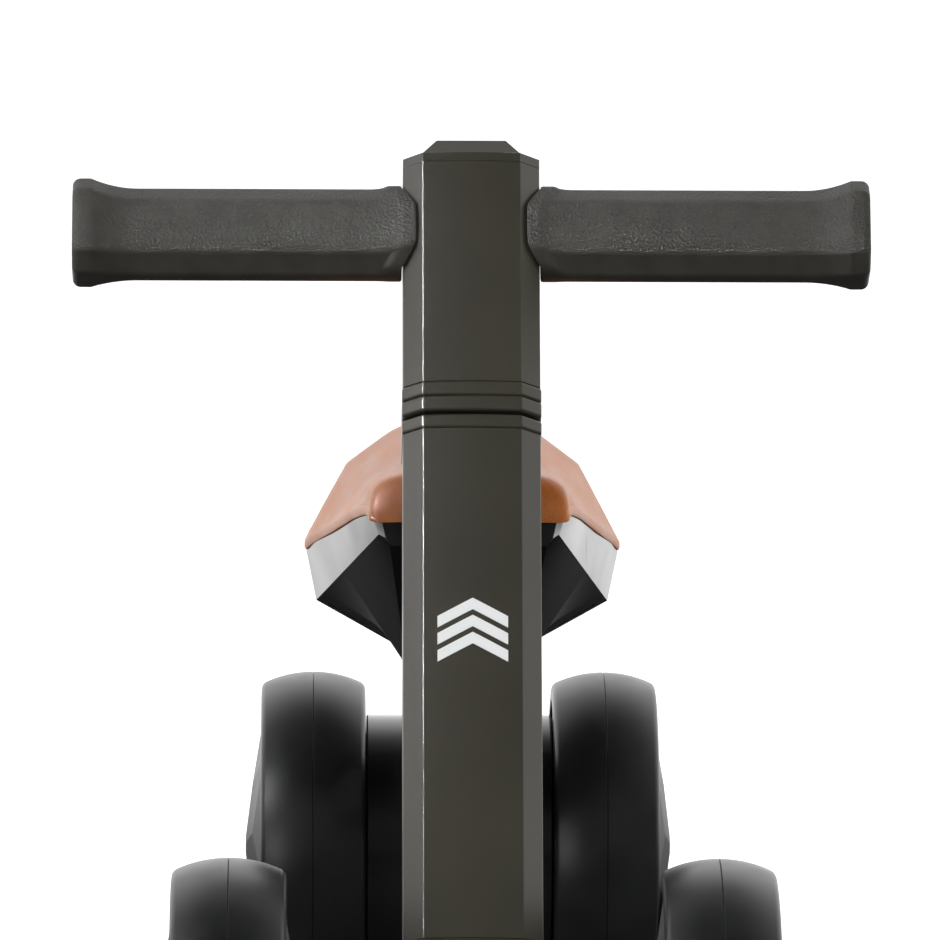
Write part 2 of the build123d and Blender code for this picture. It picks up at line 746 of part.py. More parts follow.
def fork_crown():
    foot_top = CROWN_FOOT_CHAMFER - CROWN_FOOT
    foot_low = Pos(0, 0, -CROWN_FOOT) * tube_section(-CROWN_FOOT_CHAMFER)
    foot = loft([foot_low, Pos(0, 0, foot_top) * tube_section()], ruled=True)
    block = prism(tube_section(0, TUBE_ROUND), foot_top, CROWN_TOP) + foot
    arm = fork_arm()
    crown = block + arm + mirror(arm, about=Plane.YZ)
    crown += rod(RACE_SEAT_RADIUS, CROWN_TOP, LOWER_BEARING_BASE)
    crown -= rod(STEERER_RADIUS + FIT, STEERER_FOOT, LOWER_BEARING_BASE + OVERCUT)
    crown -= at_front_axle(along_x(rod(AXLE_RADIUS + FIT, -FRONT_TRACK, FRONT_TRACK)))
    pin_hole = rod(STOP_PIN_RADIUS + FIT, CROWN_TOP - STOP_PIN_SEAT, CROWN_TOP + OVERCUT)
    return crown - Pos(0, STOP_PIN_ORBIT, 0) * pin_hole


def axle(track):
    half = track / 2 + AXLE_END
    return along_x(rod(AXLE_RADIUS, -half, half))


def wheel_seats(track, inner_end):
    """Spacers on one side: up to the inner bearing, and between the two bearings."""
    centre = track / 2
    bearing_in = HUB_HALF_LENGTH - WHEEL_BEARING_WIDTH
    bore = AXLE_RADIUS + FIT
    outboard = pipe(AXLE_RADIUS + WHEEL_RACE, bore, centre - bearing_in, centre + bearing_in)
    inboard = pipe(SPACER_RADIUS, bore, inner_end, centre - HUB_HALF_LENGTH)
    return [along_x(inboard), along_x(outboard)]


def wheel_nut(track):
    """A washer and a nut against the outer bearing, on one side."""
    base = track / 2 + HUB_HALF_LENGTH
    bore = rod(AXLE_RADIUS + FIT, base - OVERCUT, base + WASHER_THICKNESS + NUT_HEIGHT + OVERCUT)
    washer = rod(WASHER_RADIUS, base, base + WASHER_THICKNESS) - bore
    nut = hexagon(NUT_ACROSS_FLATS, base + WASHER_THICKNESS, base + WASHER_THICKNESS + NUT_HEIGHT) - bore
    return [along_x(washer), along_x(nut)]


def inner_races(track):
    """The inner rings of one wheel's two bearings, which stay on the axle."""
    inner, _ = wheel_bearing()
    centre = track / 2
    outboard = Pos(0, 0, centre + HUB_HALF_LENGTH - WHEEL_BEARING_WIDTH) * inner
    inboard = Pos(0, 0, centre - HUB_HALF_LENGTH) * inner
    return [along_x(inboard), along_x(outboard)]


# ---------------------------------------------------------------- wheel, about +X, facing out
def tyre():
    """A crowned ring with rounded shoulders, and a groove in its bore for the rim's rib."""
    half = HALF_TYRE
    shoulder_x = TYRE_SHOULDER_WIDTH / 2
    shoulder_r = WHEEL_RADIUS - TREAD_CROWN_RADIUS + sqrt(TREAD_CROWN_RADIUS**2 - shoulder_x**2)
    belly_r = TYRE_BORE_RADIUS + TYRE_BELLY_HEIGHT
    lip_r = TYRE_BORE_RADIUS + TYRE_LIP_ROUND
    lip = (half - TYRE_LIP_ROUND, TYRE_BORE_RADIUS)
    side = [(shoulder_x, shoulder_r), (half, belly_r), (half, lip_r), lip]
    crown = ThreePointArc((-shoulder_x, shoulder_r), (0, WHEEL_RADIUS), (shoulder_x, shoulder_r))
    sides = Polyline(*side, *[(-x, r) for x, r in reversed(side)])
    outline = make_face(crown.edges() + sides.edges())
    for radius, corner_r in ((TYRE_SHOULDER_ROUND, shoulder_r), (TYRE_BELLY_ROUND, belly_r)):
        corners = outline.vertices().filter_by(lambda corner: abs(corner.Y - corner_r) < 1e-4)
        outline = fillet(corners, radius)
    ring = revolve(outline, Axis.X)
    rib = RIM_RIB_WIDTH / 2 + FIT
    groove_r = TYRE_BORE_RADIUS + RIM_RIB_HEIGHT
    return ring - along_x(pipe(groove_r, TYRE_BORE_RADIUS - OVERCUT, -rib, rib))


def peg_places():
    return around(PEG_COUNT, PEG_ORBIT, DISC_TURN + QUARTER_TURN)


def rim():
    """Barrel with a rib that holds the tyre, web, hub with both bearing seats, peg bosses."""
    barrel_r = TYRE_BORE_RADIUS - FIT
    web_r = barrel_r - RIM_BARREL
    rib = RIM_RIB_WIDTH / 2
    body = pipe(barrel_r, web_r, -RIM_HALF_WIDTH, RIM_HALF_WIDTH)
    body += pipe(barrel_r + RIM_RIB_HEIGHT, web_r, -rib, rib)
    body += rod(barrel_r, -WEB_THICKNESS / 2, WEB_THICKNESS / 2)
    body += rod(HUB_RADIUS, -HUB_HALF_LENGTH, HUB_HALF_LENGTH)
    between_pegs = DISC_TURN + QUARTER_TURN + 2 * QUARTER_TURN / PEG_COUNT
    for place in around(PEG_COUNT, WEB_HOLE_ORBIT, between_pegs):
        body -= place * rod(WEB_HOLE_RADIUS, -WEB_THICKNESS, WEB_THICKNESS)
    boss_top = RIM_HALF_WIDTH - BOSS_MARGIN
    for place in peg_places():
        body += place * rod(BOSS_RADIUS, -boss_top, boss_top)
        body -= place * rod(PEG_RADIUS + FIT, -RIM_HALF_WIDTH, RIM_HALF_WIDTH)
    seat = HUB_HALF_LENGTH - WHEEL_BEARING_WIDTH
    body -= rod(HUB_THROAT, -HUB_HALF_LENGTH - OVERCUT, HUB_HALF_LENGTH + OVERCUT)
    body -= rod(WHEEL_BEARING_RADIUS, seat, HUB_HALF_LENGTH + OVERCUT)
    body -= rod(WHEEL_BEARING_RADIUS, -HUB_HALF_LENGTH - OVERCUT, -seat)
    return along_x(body)


def gem(radius, drop):
    """The cut form of a wheel disc, about Z: six kites meet at the middle, and six
    triangles lie between them at the edge. `drop` lowers every facet by that much."""
    rim_height = HALF_TYRE - DISC_RIM_SINK
    apex = HALF_TYRE + DISC_APEX
    kite_fall = (apex - rim_height) / DISC_RADIUS
    half_step = pi / DISC_POINTS
    vertex_height = apex - kite_fall * DISC_VERTEX_RADIUS * cos(half_step)
    chord = DISC_RADIUS * cos(half_step)
    triangle_fall = (vertex_height - rim_height) / (chord - DISC_VERTEX_RADIUS)
    triangle_apex = vertex_height + triangle_fall * DISC_VERTEX_RADIUS
    solid = rod(radius, RIM_HALF_WIDTH, HALF_TYRE + DISC_FLAT - drop)
    step = 360 / DISC_POINTS
    for k in range(DISC_POINTS):
        for turn, top, fall in ((0, apex, kite_fall), (step / 2, triangle_apex, triangle_fall)):
            angle = radians(turn + k * step)
            facet = Plane(origin=(0, 0, top - drop), z_dir=(fall * cos(angle), fall * sin(angle), 1))
            solid = split(solid, bisect_by=facet, keep=Keep.BOTTOM)
    return solid


def outer_disc():
    """A faceted cover, a thin shell with three pegs that press into the rim."""
    disc = gem(DISC_RADIUS, 0) - gem(DISC_RADIUS - DISC_WALL, DISC_WALL)
    peg_top = HALF_TYRE - DISC_WALL / 2
    for place in around(PEG_COUNT, PEG_ORBIT):
        disc += place * rod(PEG_RADIUS, PEG_REACH, peg_top)
    return along_x(Rot(0, 0, DISC_TURN + QUARTER_TURN) * disc)


def inner_disc():
    """The same cover for the frame's side, holed for the axle's spacer."""
    disc = mirror(outer_disc(), about=Plane.YZ)
    return disc - along_x(rod(DISC_HOLE, -HALF_TYRE - DISC_APEX, 0))


def wheel_bearings():
    """The outer rings and balls of both bearings, which turn with the wheel."""
    _, turning = wheel_bearing()
    seat = HUB_HALF_LENGTH - WHEEL_BEARING_WIDTH
    outboard = [along_x(Pos(0, 0, seat) * piece) for piece in turning]
    inboard = [along_x(Pos(0, 0, -HUB_HALF_LENGTH) * piece) for piece in turning]
    return Compound(children=outboard + inboard)


# ---------------------------------------------------------------- frame beam
def beam_profile(inset=0.0):
    """The beam's side view on the YZ plane: from the head tube down to the seat's
    saddle, and on down to the lug round the rear axle."""
    along = Vector(REAR_AXLE_Y - BEAM_SADDLE_REAR_Y, AXLE_Z - BEAM_SADDLE_HEIGHT).normalized()
    square = Vector(-along.Y, along.X)
    lug = Vector(REAR_AXLE_Y, AXLE_Z)
    lug_top = lug + square * BEAM_LUG_RADIUS
    lug_low = lug - square * BEAM_LUG_RADIUS
    front_y = STEER.origin.Y + (BEAM_FRONT_TOP - AXLE_Z) * tan(LEAN)
    low_front = BEAM_FRONT_TOP - BEAM_FRONT_DEPTH
    low_front_y = front_y - BEAM_FRONT_DEPTH * tan(LEAN)
    belly = BEAM_SADDLE_HEIGHT - BEAM_DEPTH
    belly_rear = Vector(BEAM_SADDLE_REAR_Y, BEAM_SADDLE_HEIGHT) - square * 2 * BEAM_LUG_RADIUS
    top = [
        (front_y, BEAM_FRONT_TOP),
        (BEAM_TOP_BEND_Y, BEAM_FRONT_TOP),
        (BEAM_SADDLE_FRONT_Y, BEAM_SADDLE_HEIGHT),
        (BEAM_SADDLE_REAR_Y, BEAM_SADDLE_HEIGHT),
        (lug_top.X, lug_top.Y),
    ]
    bottom = [
        (lug_low.X, lug_low.Y),
        (belly_rear.X, belly),
        (BEAM_SADDLE_FRONT_Y - BEAM_DEPTH / 2, belly),
        (BEAM_TOP_BEND_Y - BEAM_DEPTH / 2, low_front),
        (low_front_y, low_front),
    ]
    face = make_face(Polyline(*top, *bottom, close=True).edges())
    bends = [(BEAM_SADDLE_REAR_Y, BEAM_SADDLE_HEIGHT), bottom[1], bottom[2], bottom[3]]
    corners = [vertex for vertex in face.vertices()
               if any((Vector(vertex) - Vector(*bend)).length < 0.01 for bend in bends)]
    face = fillet(corners, BEAM_OUTER_BEND)
    face += Pos(REAR_AXLE_Y, AXLE_Z) * Circle(BEAM_LUG_RADIUS)
    return offset(face, -inset) if inset else face


SIDE = Plane(origin=(0, 0, 0), x_dir=(0, 1, 0), z_dir=(1, 0, 0))


def side_prism(face, width):
    """A YZ outline pulled evenly to both sides of the centre plane."""
    return extrude(SIDE * face, width / 2, both=True)


def head_space(grow=0.0):
    """The room that the head tube takes, in the bike's frame."""
    return STEER.location * prism(tube_section(grow), LOWER_CUP_BASE, UPPER_CUP_TOP)


def main_beam():
    beam = side_prism(beam_profile(), BEAM_WIDTH)
    rims = beam.edges().filter_by(lambda edge: abs(abs(edge.center().X) - BEAM_WIDTH / 2) < 1e-4)
    beam = chamfer(rims, BEAM_CHAMFER)
    cavity = side_prism(beam_profile(BEAM_WALL), BEAM_WIDTH - 2 * BEAM_WALL)
    lug = along_x(rod(BEAM_LUG_RADIUS, -BEAM_WIDTH / 2, BEAM_WIDTH / 2))
    beam -= cavity - Pos(0, REAR_AXLE_Y, AXLE_Z) * lug
    beam -= Pos(0, REAR_AXLE_Y, AXLE_Z) * along_x(rod(AXLE_RADIUS + FIT, -BEAM_WIDTH, BEAM_WIDTH))
    beam -= head_space()
    for bolt in seat_bolt_places():
        beam -= bolt * rod(SEAT_BOLT_RADIUS + FIT, -SEAT_BOLT_LENGTH, OVERCUT)
    return beam


# ---------------------------------------------------------------- rear drum
def dish(radius, offset_in):
    """The drum's dished end as a cone about Z, kept clear of the wheel's disc."""
    fall = (DISC_APEX + DISC_RIM_SINK) / DISC_RADIUS
    centre = REAR_TRACK / 2 - HALF_TYRE - DISC_APEX - RUN_GAP - offset_in
    return centre + fall * radius


def drum_body(radius, offset_in):
    """A round half body about Z, from the centre plane out to the dished end."""
    outline = Polyline(
        (0, 0), (radius, 0), (radius, dish(radius, offset_in)), (0, dish(0, offset_in)), close=True
    )
    return revolve(Plane.XZ * make_face(outline.edges()), Axis.Z)


def drum_boss_places():
    """Three bosses, a quarter turn apart, opposite and beside the beam's way in."""
    beam_angle = degrees(atan2(BEAM_SADDLE_REAR_Y - REAR_AXLE_Y, AXLE_Z - BEAM_SADDLE_HEIGHT))
    boss_turns = [QUARTER_TURN * k for k in (1, 2, 3)]
    return [Rot(0, 0, beam_angle + turn) * Pos(DRUM_BOSS_ORBIT, 0, 0) for turn in boss_turns]


def rear_drum(threaded):
    """The left half of the housing between the rear wheels."""
    shell = drum_body(DRUM_RADIUS, 0)
    shell = fillet(shell.edges().filter_by(GeomType.CIRCLE).sort_by(Axis.Z)[-1], DRUM_ROUND)
    hollow = drum_body(DRUM_RADIUS - DRUM_WALL, DRUM_WALL)
    hub = rod(DRUM_HUB_RADIUS, BEAM_WIDTH / 2, dish(DRUM_HUB_RADIUS, DRUM_WALL))
    boss_top = dish(DRUM_BOSS_ORBIT, DRUM_WALL)
    shell -= hollow
    shell += hub
    for place in drum_boss_places():
        shell += place * rod(DRUM_BOSS_RADIUS, 0, boss_top)
    shell -= rod(SPACER_RADIUS + SLIP, 0, REAR_TRACK)
    for place in drum_boss_places():
        if threaded:
            shell -= place * rod(DRUM_SCREW_RADIUS + FIT, -OVERCUT, boss_top - DRUM_SCREW_FLOOR)
        else:
            shell -= place * rod(DRUM_SCREW_RADIUS + SLIP, -OVERCUT, REAR_TRACK)
            shell -= place * rod(DRUM_SCREW_HEAD_RADIUS + SLIP, drum_screw_seat(), REAR_TRACK)
    drum = Pos(0, REAR_AXLE_Y, AXLE_Z) * along_x(shell)
    return drum - side_prism(beam_profile(-BEAM_GAP), BEAM_WIDTH + 2 * BEAM_GAP)


def drum_screw_seat():
    return dish(DRUM_BOSS_ORBIT - DRUM_SCREW_HEAD_RADIUS, 0) - DRUM_SCREW_HEAD


def drum_screws():
    seat = drum_screw_seat()
    screw = rod(DRUM_SCREW_RADIUS, DRUM_SCREW_END - dish(DRUM_BOSS_ORBIT, DRUM_WALL), seat)
    screw += rod(DRUM_SCREW_HEAD_RADIUS, seat, seat + DRUM_SCREW_HEAD)
    place_on_bike = Pos(0, REAR_AXLE_Y, AXLE_Z)
    return Compound(children=[place_on_bike * along_x(place * screw) for place in drum_boss_places()])


# ---------------------------------------------------------------- seat
class Rib:
    """One cross-section of the seat. Each pair is (half width, height): the edge that
    the pad meets, the foot of the side wall, and the keel that rests on the beam. The
    kink of the pad's arch is a share of its half width and of its fall."""

    def __init__(self, y, edge, foot, keel, crown, kink):
        self.y = y
        self.edge = edge
        self.foot = foot
        self.keel = keel
        self.crown = crown
        self.kink = kink


def between(front, rear, y):
    """The rib at a place along the straight run from one rib to the next."""
    share = (y - front.y) / (rear.y - front.y)

    def blend(start, end):
        return start + (end - start) * share

    def blend_pair(start, end):
        return blend(start[0], end[0]), blend(start[1], end[1])

    return Rib(
        y,
        blend_pair(front.edge, rear.edge),
        blend_pair(front.foot, rear.foot),
        blend_pair(front.keel, rear.keel),
        blend(front.crown, rear.crown),
        blend_pair(front.kink, rear.kink),
    )


def over_beam(rib, keel_x, keel_z, crown):
    """The same rib with its keel flat on the beam."""
    return Rib(rib.y, rib.edge, rib.foot, (keel_x, keel_z), crown, rib.kink)


def stacked_rib(y, keel, foot, edge, crown_rise, kink):
    """A rib from its keel (half width, height) up, by each part's half width and rise."""
    keel_z = keel[1]
    foot_z = keel_z + foot[1]
    edge_z = foot_z + edge[1]
    return Rib(y, (edge[0], edge_z), (foot[0], foot_z), keel, edge_z + crown_rise, kink)


def seat_ribs():
    boxy = (NOSE_KINK_WIDTH, NOSE_KINK_FALL)
    domed = (ARCH_KINK_WIDTH, ARCH_KINK_FALL)
    nose = stacked_rib(
        SEAT_NOSE_Y,
        (NOSE_KEEL_WIDTH, BEAM_FRONT_TOP),
        (NOSE_FOOT_WIDTH, NOSE_FOOT_RISE),
        (NOSE_EDGE_WIDTH, NOSE_EDGE_RISE),
        NOSE_CROWN_RISE,
        boxy,
    )
    shoulder = stacked_rib(
        SEAT_SHOULDER_Y,
        (SHOULDER_KEEL_WIDTH, BEAM_FRONT_TOP),
        (SHOULDER_FOOT_WIDTH, SHOULDER_FOOT_RISE),
        (SHOULDER_EDGE_WIDTH, SHOULDER_EDGE_RISE),
        SHOULDER_CROWN_RISE,
        boxy,
    )
    wide = stacked_rib(
        SEAT_WIDE_Y,
        (WIDE_KEEL_WIDTH, BEAM_SADDLE_HEIGHT - WIDE_KEEL_DROP),
        (WIDE_FOOT_WIDTH, WIDE_FOOT_RISE),
        (WIDE_EDGE_WIDTH, WIDE_EDGE_RISE),
        WIDE_CROWN_RISE,
        domed,
    )
    rump = stacked_rib(
        SEAT_RUMP_Y,
        (RUMP_KEEL_WIDTH, BEAM_SADDLE_HEIGHT + RUMP_KEEL_RISE),
        (RUMP_FOOT_WIDTH, RUMP_FOOT_RISE),
        (RUMP_EDGE_WIDTH, RUMP_EDGE_RISE),
        RUMP_CROWN_RISE,
        domed,
    )
    tail = stacked_rib(
        SEAT_TAIL_Y,
        (TAIL_KEEL_WIDTH, BEAM_SADDLE_HEIGHT + TAIL_KEEL_RISE),
        (TAIL_FOOT_WIDTH, TAIL_FOOT_RISE),
        (TAIL_EDGE_WIDTH, TAIL_EDGE_RISE),
        TAIL_CROWN_RISE,
        domed,
    )
    bend = over_beam(
        between(shoulder, wide, BEAM_TOP_BEND_Y), SHOULDER_KEEL_WIDTH, BEAM_FRONT_TOP, shoulder.crown
    )
    saddle = [
        over_beam(between(shoulder, wide, y), BEAM_SADDLE_WIDTH / 2, BEAM_SADDLE_HEIGHT, wide.crown)
        for y in (BEAM_SADDLE_FRONT_Y, BEAM_SADDLE_REAR_Y)
    ]
    return [nose, shoulder, bend, *saddle, wide, rump, tail]


RIBS = seat_ribs()


def seat_plane(y):
    """Sketch X runs to the bike's left, sketch Y up."""
    return Plane(origin=(0, y, 0), x_dir=(1, 0, 0), z_dir=(0, -1, 0))


def rib_at(y):
    """The rib at any place along the seat."""
    front, rear = next(pair for pair in zip(RIBS, RIBS[1:]) if pair[1].y >= y)
    return between(front, rear, y)


def inner_ribs():
    """The ribs between the tub's two end walls."""
    first = rib_at(SEAT_NOSE_Y + SEAT_WALL)
    last = rib_at(SEAT_TAIL_Y - SEAT_WALL)
    return [first] + [rib for rib in RIBS[1:-1] if first.y < rib.y < last.y] + [last]


def hull_face(rib, wall=0.0):
    """The tub of the seat base across one rib, or its hollow when a wall is given."""
    lift = OVERCUT if wall else 0.0
    edge_x, edge_z = rib.edge
    foot_x, foot_z = rib.foot
    keel_x, keel_z = rib.keel
    half = [
        (keel_x - wall * KEEL_INSET, keel_z + wall),
        (foot_x - wall * FOOT_INSET, foot_z + wall * FOOT_RISE),
        (edge_x - wall, edge_z + lift),
    ]
    left = [(-x, z) for x, z in reversed(half)]
    return make_face(Polyline(*half, *left, close=True).edges())


def arch(kink, half_width, crown, edge_z):
    """Half of an arch, from its centre out: a curve down to a kink, then a straight side."""
    kink_x = half_width * kink[0]
    fall = (crown - edge_z) * kink[1]
    return [(kink_x * t, crown - fall * t**ARCH_POWER) for t in ARCH_SHARES] + [(half_width, edge_z)]


def loft_ribs(faces):
    """Straight facets from rib to rib."""
    return loft(faces, ruled=True)


def seat_base():
    """A faceted tub whose two end walls rise into the arch under the pad."""
    outer = loft_ribs([seat_plane(rib.y) * hull_face(rib) for rib in RIBS])
    tub = outer - loft_ribs([seat_plane(rib.y) * hull_face(rib, SEAT_WALL) for rib in inner_ribs()])
    for y, depth in ((SEAT_NOSE_Y, SEAT_WALL), (SEAT_TAIL_Y, -SEAT_WALL)):
        tub += extrude(seat_plane(y) * end_wall_face(rib_at(y)), -depth)
    for bolt in seat_bolt_places():
        tub -= bolt * rod(SEAT_BOLT_RADIUS + SLIP, -OVERCUT, SEAT_WALL + OVERCUT)
    return tub - seat_vents()


def seat_vents():
    """A slot through each slanting underside, near the widest point."""
    foot_x, foot_z = rib_at(SEAT_WIDE_Y).foot
    slot = Box(VENT_LENGTH, VENT_WIDTH, 2 * VENT_LENGTH)
    slot = Pos(foot_x - VENT_TIP_MARGIN - VENT_LENGTH / 2, SEAT_WIDE_Y - 2 * VENT_WIDTH, foot_z) * slot
    return slot + mirror(slot, about=Plane.YZ)


def board_arch(rib):
    """The top of the seat board across one rib."""
    half_width = rib.edge[0] - PAD_LIP - PLATE_GAP
    return arch(rib.kink, half_width, rib.crown - PAD_THICKNESS, rib.edge[1] + BOARD_THICKNESS)


def band_face(top, under):
    """A band between two half outlines that both run from the centre out."""
    right = top + list(reversed(under))
    left = [(-x, z) for x, z in under[1:]] + [(-x, z) for x, z in reversed(top[1:])]
    return make_face(Polyline(*right, *left, close=True).edges())


def filled_face(top, foot_z):
    """What lies under a half outline, down to a level foot."""
    right = top + [(top[-1][0], foot_z)]
    left = [(-x, z) for x, z in reversed(right[1:])]
    return make_face(Polyline(*right, *left, close=True).edges())


def end_wall_face(rib):
    """The part of an end wall that closes the arch under the pad."""
    return filled_face(board_arch(rib), rib.edge[1] - OVERCUT)


def board_face(rib):
    top = board_arch(rib)
    return band_face(top, [(x, z - BOARD_THICKNESS) for x, z in top])


def pad_top(rib):
    """The pad's outside: its arch ends in a short upright lip."""
    return arch(rib.kink, rib.edge[0], rib.crown, rib.edge[1] + PAD_EDGE)


def pad_face(rib):
    """The padded cover across one rib: a crown that thins towards its lip."""
    half_width = rib.edge[0] - PAD_LIP
    board = arch(rib.kink, half_width, rib.crown - PAD_THICKNESS, rib.edge[1] + BOARD_THICKNESS)
    under = [(x, z + PLATE_GAP) for x, z in board] + [(half_width, rib.edge[1] + PLATE_GAP)]
    return band_face(pad_top(rib) + [(rib.edge[0], rib.edge[1] + PLATE_GAP)], under)


def pad_wrap(rib, outward):
    """The pad's end, turned down over an end wall of the tub."""
    face = filled_face(pad_top(rib), rib.edge[1] + PLATE_GAP - OVERCUT)
    near = seat_plane(rib.y + outward * PLATE_GAP) * face
    wrap = extrude(near, -outward * PAD_WRAP)
    far = wrap.faces().sort_by(Axis.Y)[0 if outward < 0 else -1]
    return chamfer(far.edges().filter_by(lambda edge: edge.center().Z > rib.edge[1]), PAD_WRAP_ROUND)


def seat_board():
    return loft_ribs([seat_plane(rib.y) * board_face(rib) for rib in inner_ribs()])


def seat_pad():
    ends = {SEAT_NOSE_Y: SEAT_NOSE_Y - PLATE_GAP, SEAT_TAIL_Y: SEAT_TAIL_Y + PLATE_GAP}
    pad = loft_ribs([seat_plane(ends.get(rib.y, rib.y)) * pad_face(rib) for rib in RIBS])
    return pad + pad_wrap(RIBS[0], -1) + pad_wrap(RIBS[-1], 1)


def seat_bolt_places():
    """Four bolts through the floor of the seat base into the beam's saddle."""
    middle = (BEAM_SADDLE_FRONT_Y + BEAM_SADDLE_REAR_Y) / 2
    return [
        Pos(i * SEAT_BOLT_SPACING_X / 2, middle + j * SEAT_BOLT_SPACING_Y / 2, BEAM_SADDLE_HEIGHT)
        for i in (-1, 1)
        for j in (-1, 1)
    ]


def seat_bolts():
    bolt = rod(SEAT_BOLT_RADIUS, -SEAT_BOLT_LENGTH, SEAT_WALL)
    bolt += rod(SEAT_BOLT_HEAD_RADIUS, SEAT_WALL, SEAT_WALL + SEAT_BOLT_HEAD)
    return Compound(children=[place * bolt for place in seat_bolt_places()])


# ---------------------------------------------------------------- write the nodes
def write_steering():
    steer = STEER.location
    grip = left_grip()
    inner, _ = head_bearing()
    races = [Pos(0, 0, base) * inner for base in (LOWER_BEARING_BASE, UPPER_BEARING_BASE)]
    save("upper_stem", upper_stem(), steer)
    save("stem_insert", stem_insert(), steer)
    save("stem_cap", stem_cap(), steer)
    save("stem_bolt", stem_bolt(), steer)
    save("stem_ring", stem_ring(), steer)
    save("bearing_cover", bearing_cover(), steer)
    save("steerer_tube", steerer_tube(), steer)
    save("steerer_plug", steerer_plug(), steer)
    save("headset_inner_races", Compound(children=races), steer)
    save("handlebar_core", handlebar_core(), steer)
    save("bar_screw", bar_screw(), steer)
    save("left_grip", grip, steer)
    save("right_grip", mirror(grip, about=Plane.YZ), steer)
    save("grip_screws", pairs([grip_screw()]), steer)
    save("fork_crown", fork_crown(), steer)
    save("steering_stop_pin", stop_pin(), steer)
    front = Pos(0, FRONT_AXLE_Y, AXLE_Z)
    save("front_axle", front * axle(FRONT_TRACK))
    save("front_axle_spacers", front * pairs(wheel_seats(FRONT_TRACK, ARM_END)))
    save("front_axle_nuts", front * pairs(wheel_nut(FRONT_TRACK)))
    save("front_bearing_inner_races", front * pairs(inner_races(FRONT_TRACK)))


def write_frame():
    steer = STEER.location
    _, turning = head_bearing()
    bases = (LOWER_BEARING_BASE, UPPER_BEARING_BASE)
    rings = [Pos(0, 0, base) * piece for base in bases for piece in turning]
    save("head_tube", head_tube(), steer)
    save("front_mark", front_mark(), steer)
    save("upper_bearing_cup", upper_bearing_cup(), steer)
    save("lower_bearing_cup", lower_bearing_cup(), steer)
    save("headset_outer_races", Compound(children=rings), steer)
    save("main_beam", main_beam())
    rear = Pos(0, REAR_AXLE_Y, AXLE_Z)
    save("rear_axle", rear * axle(REAR_TRACK))
    save("rear_axle_spacers", rear * pairs(wheel_seats(REAR_TRACK, BEAM_WIDTH / 2)))
    save("rear_axle_nuts", rear * pairs(wheel_nut(REAR_TRACK)))
    save("rear_bearing_inner_races", rear * pairs(inner_races(REAR_TRACK)))
    save("rear_drum_left", rear_drum(threaded=False))
    save("rear_drum_right", mirror(rear_drum(threaded=True), about=Plane.YZ))
    save("drum_screws", drum_screws())
    save("seat_base", seat_base())
    save("seat_board", seat_board())
    save("seat_pad", seat_pad())
    save("seat_bolts", seat_bolts())


def write_wheels():
    pieces = {
        "tyre": tyre(),
        "rim": rim(),
        "outer_disc": outer_disc(),
        "inner_disc": inner_disc(),
        "bearings": wheel_bearings(),
    }
    axles = {"front": (FRONT_AXLE_Y, FRONT_TRACK), "rear": (REAR_AXLE_Y, REAR_TRACK)}
    for end, (y, track) in axles.items():
        for piece, shape in pieces.items():
            left = Pos(track / 2, y, AXLE_Z) * shape
            save(f"{end}_left_{piece}", left)
            save(f"{end}_right_{piece}", mirror(left, about=Plane.YZ))


write_steering()
write_frame()
write_wheels()
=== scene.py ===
import json
from math import cos, pi, radians, sin, sqrt, tan

import bmesh
import bpy
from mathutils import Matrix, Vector


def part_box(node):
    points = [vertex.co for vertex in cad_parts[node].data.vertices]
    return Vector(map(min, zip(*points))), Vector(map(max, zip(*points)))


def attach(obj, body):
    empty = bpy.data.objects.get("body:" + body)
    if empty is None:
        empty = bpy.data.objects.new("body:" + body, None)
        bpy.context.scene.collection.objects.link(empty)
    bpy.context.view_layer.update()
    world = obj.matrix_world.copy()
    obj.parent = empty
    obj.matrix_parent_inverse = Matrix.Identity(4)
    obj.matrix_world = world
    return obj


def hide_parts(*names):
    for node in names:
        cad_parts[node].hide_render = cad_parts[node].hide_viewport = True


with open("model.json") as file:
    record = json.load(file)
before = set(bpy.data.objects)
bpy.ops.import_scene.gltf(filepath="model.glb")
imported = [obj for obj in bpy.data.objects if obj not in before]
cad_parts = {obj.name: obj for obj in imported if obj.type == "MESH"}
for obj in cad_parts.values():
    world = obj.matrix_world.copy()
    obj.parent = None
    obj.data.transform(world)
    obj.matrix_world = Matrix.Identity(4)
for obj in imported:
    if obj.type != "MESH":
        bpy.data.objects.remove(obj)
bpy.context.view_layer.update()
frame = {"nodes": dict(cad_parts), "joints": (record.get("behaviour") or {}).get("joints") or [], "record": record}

MM = 0.001

# ---------------------------------------------------------------- camera, floor and light
CAMERA_PLACE = Vector((-0.0583, -3.5646, 0.8035))
CAMERA_PITCH = radians(8.77)
CAMERA_YAW = radians(0.902)
CAMERA_ROLL = radians(0.315)
CAMERA_LENS = 362.8
CAMERA_SENSOR = 36.0
CAMERA_REACH = 100.0
FLOOR_HALF = 14.0

# The studio's greys by direction, as (direction, grey): by depth from the front (-1) to the
# back (1), and by height up to the zenith (1)
WORLD_STRENGTH = 1.7
WORLD_DEPTH = ((-0.5, 0.07), (-0.15, 0.3), (0.2, 0.75), (0.6, 1.0))
WORLD_HEIGHT = ((0.6, 1.0), (0.97, 0.1))


def make_camera():
    data = bpy.data.cameras.new("camera")
    data.lens = CAMERA_LENS
    data.sensor_width = CAMERA_SENSOR
    data.clip_end = CAMERA_REACH
    camera = bpy.data.objects.new("camera", data)
    camera.location = CAMERA_PLACE
    camera.rotation_euler = (pi / 2 - CAMERA_PITCH, -CAMERA_ROLL, -CAMERA_YAW)
    bpy.context.scene.collection.objects.link(camera)
    bpy.context.scene.camera = camera


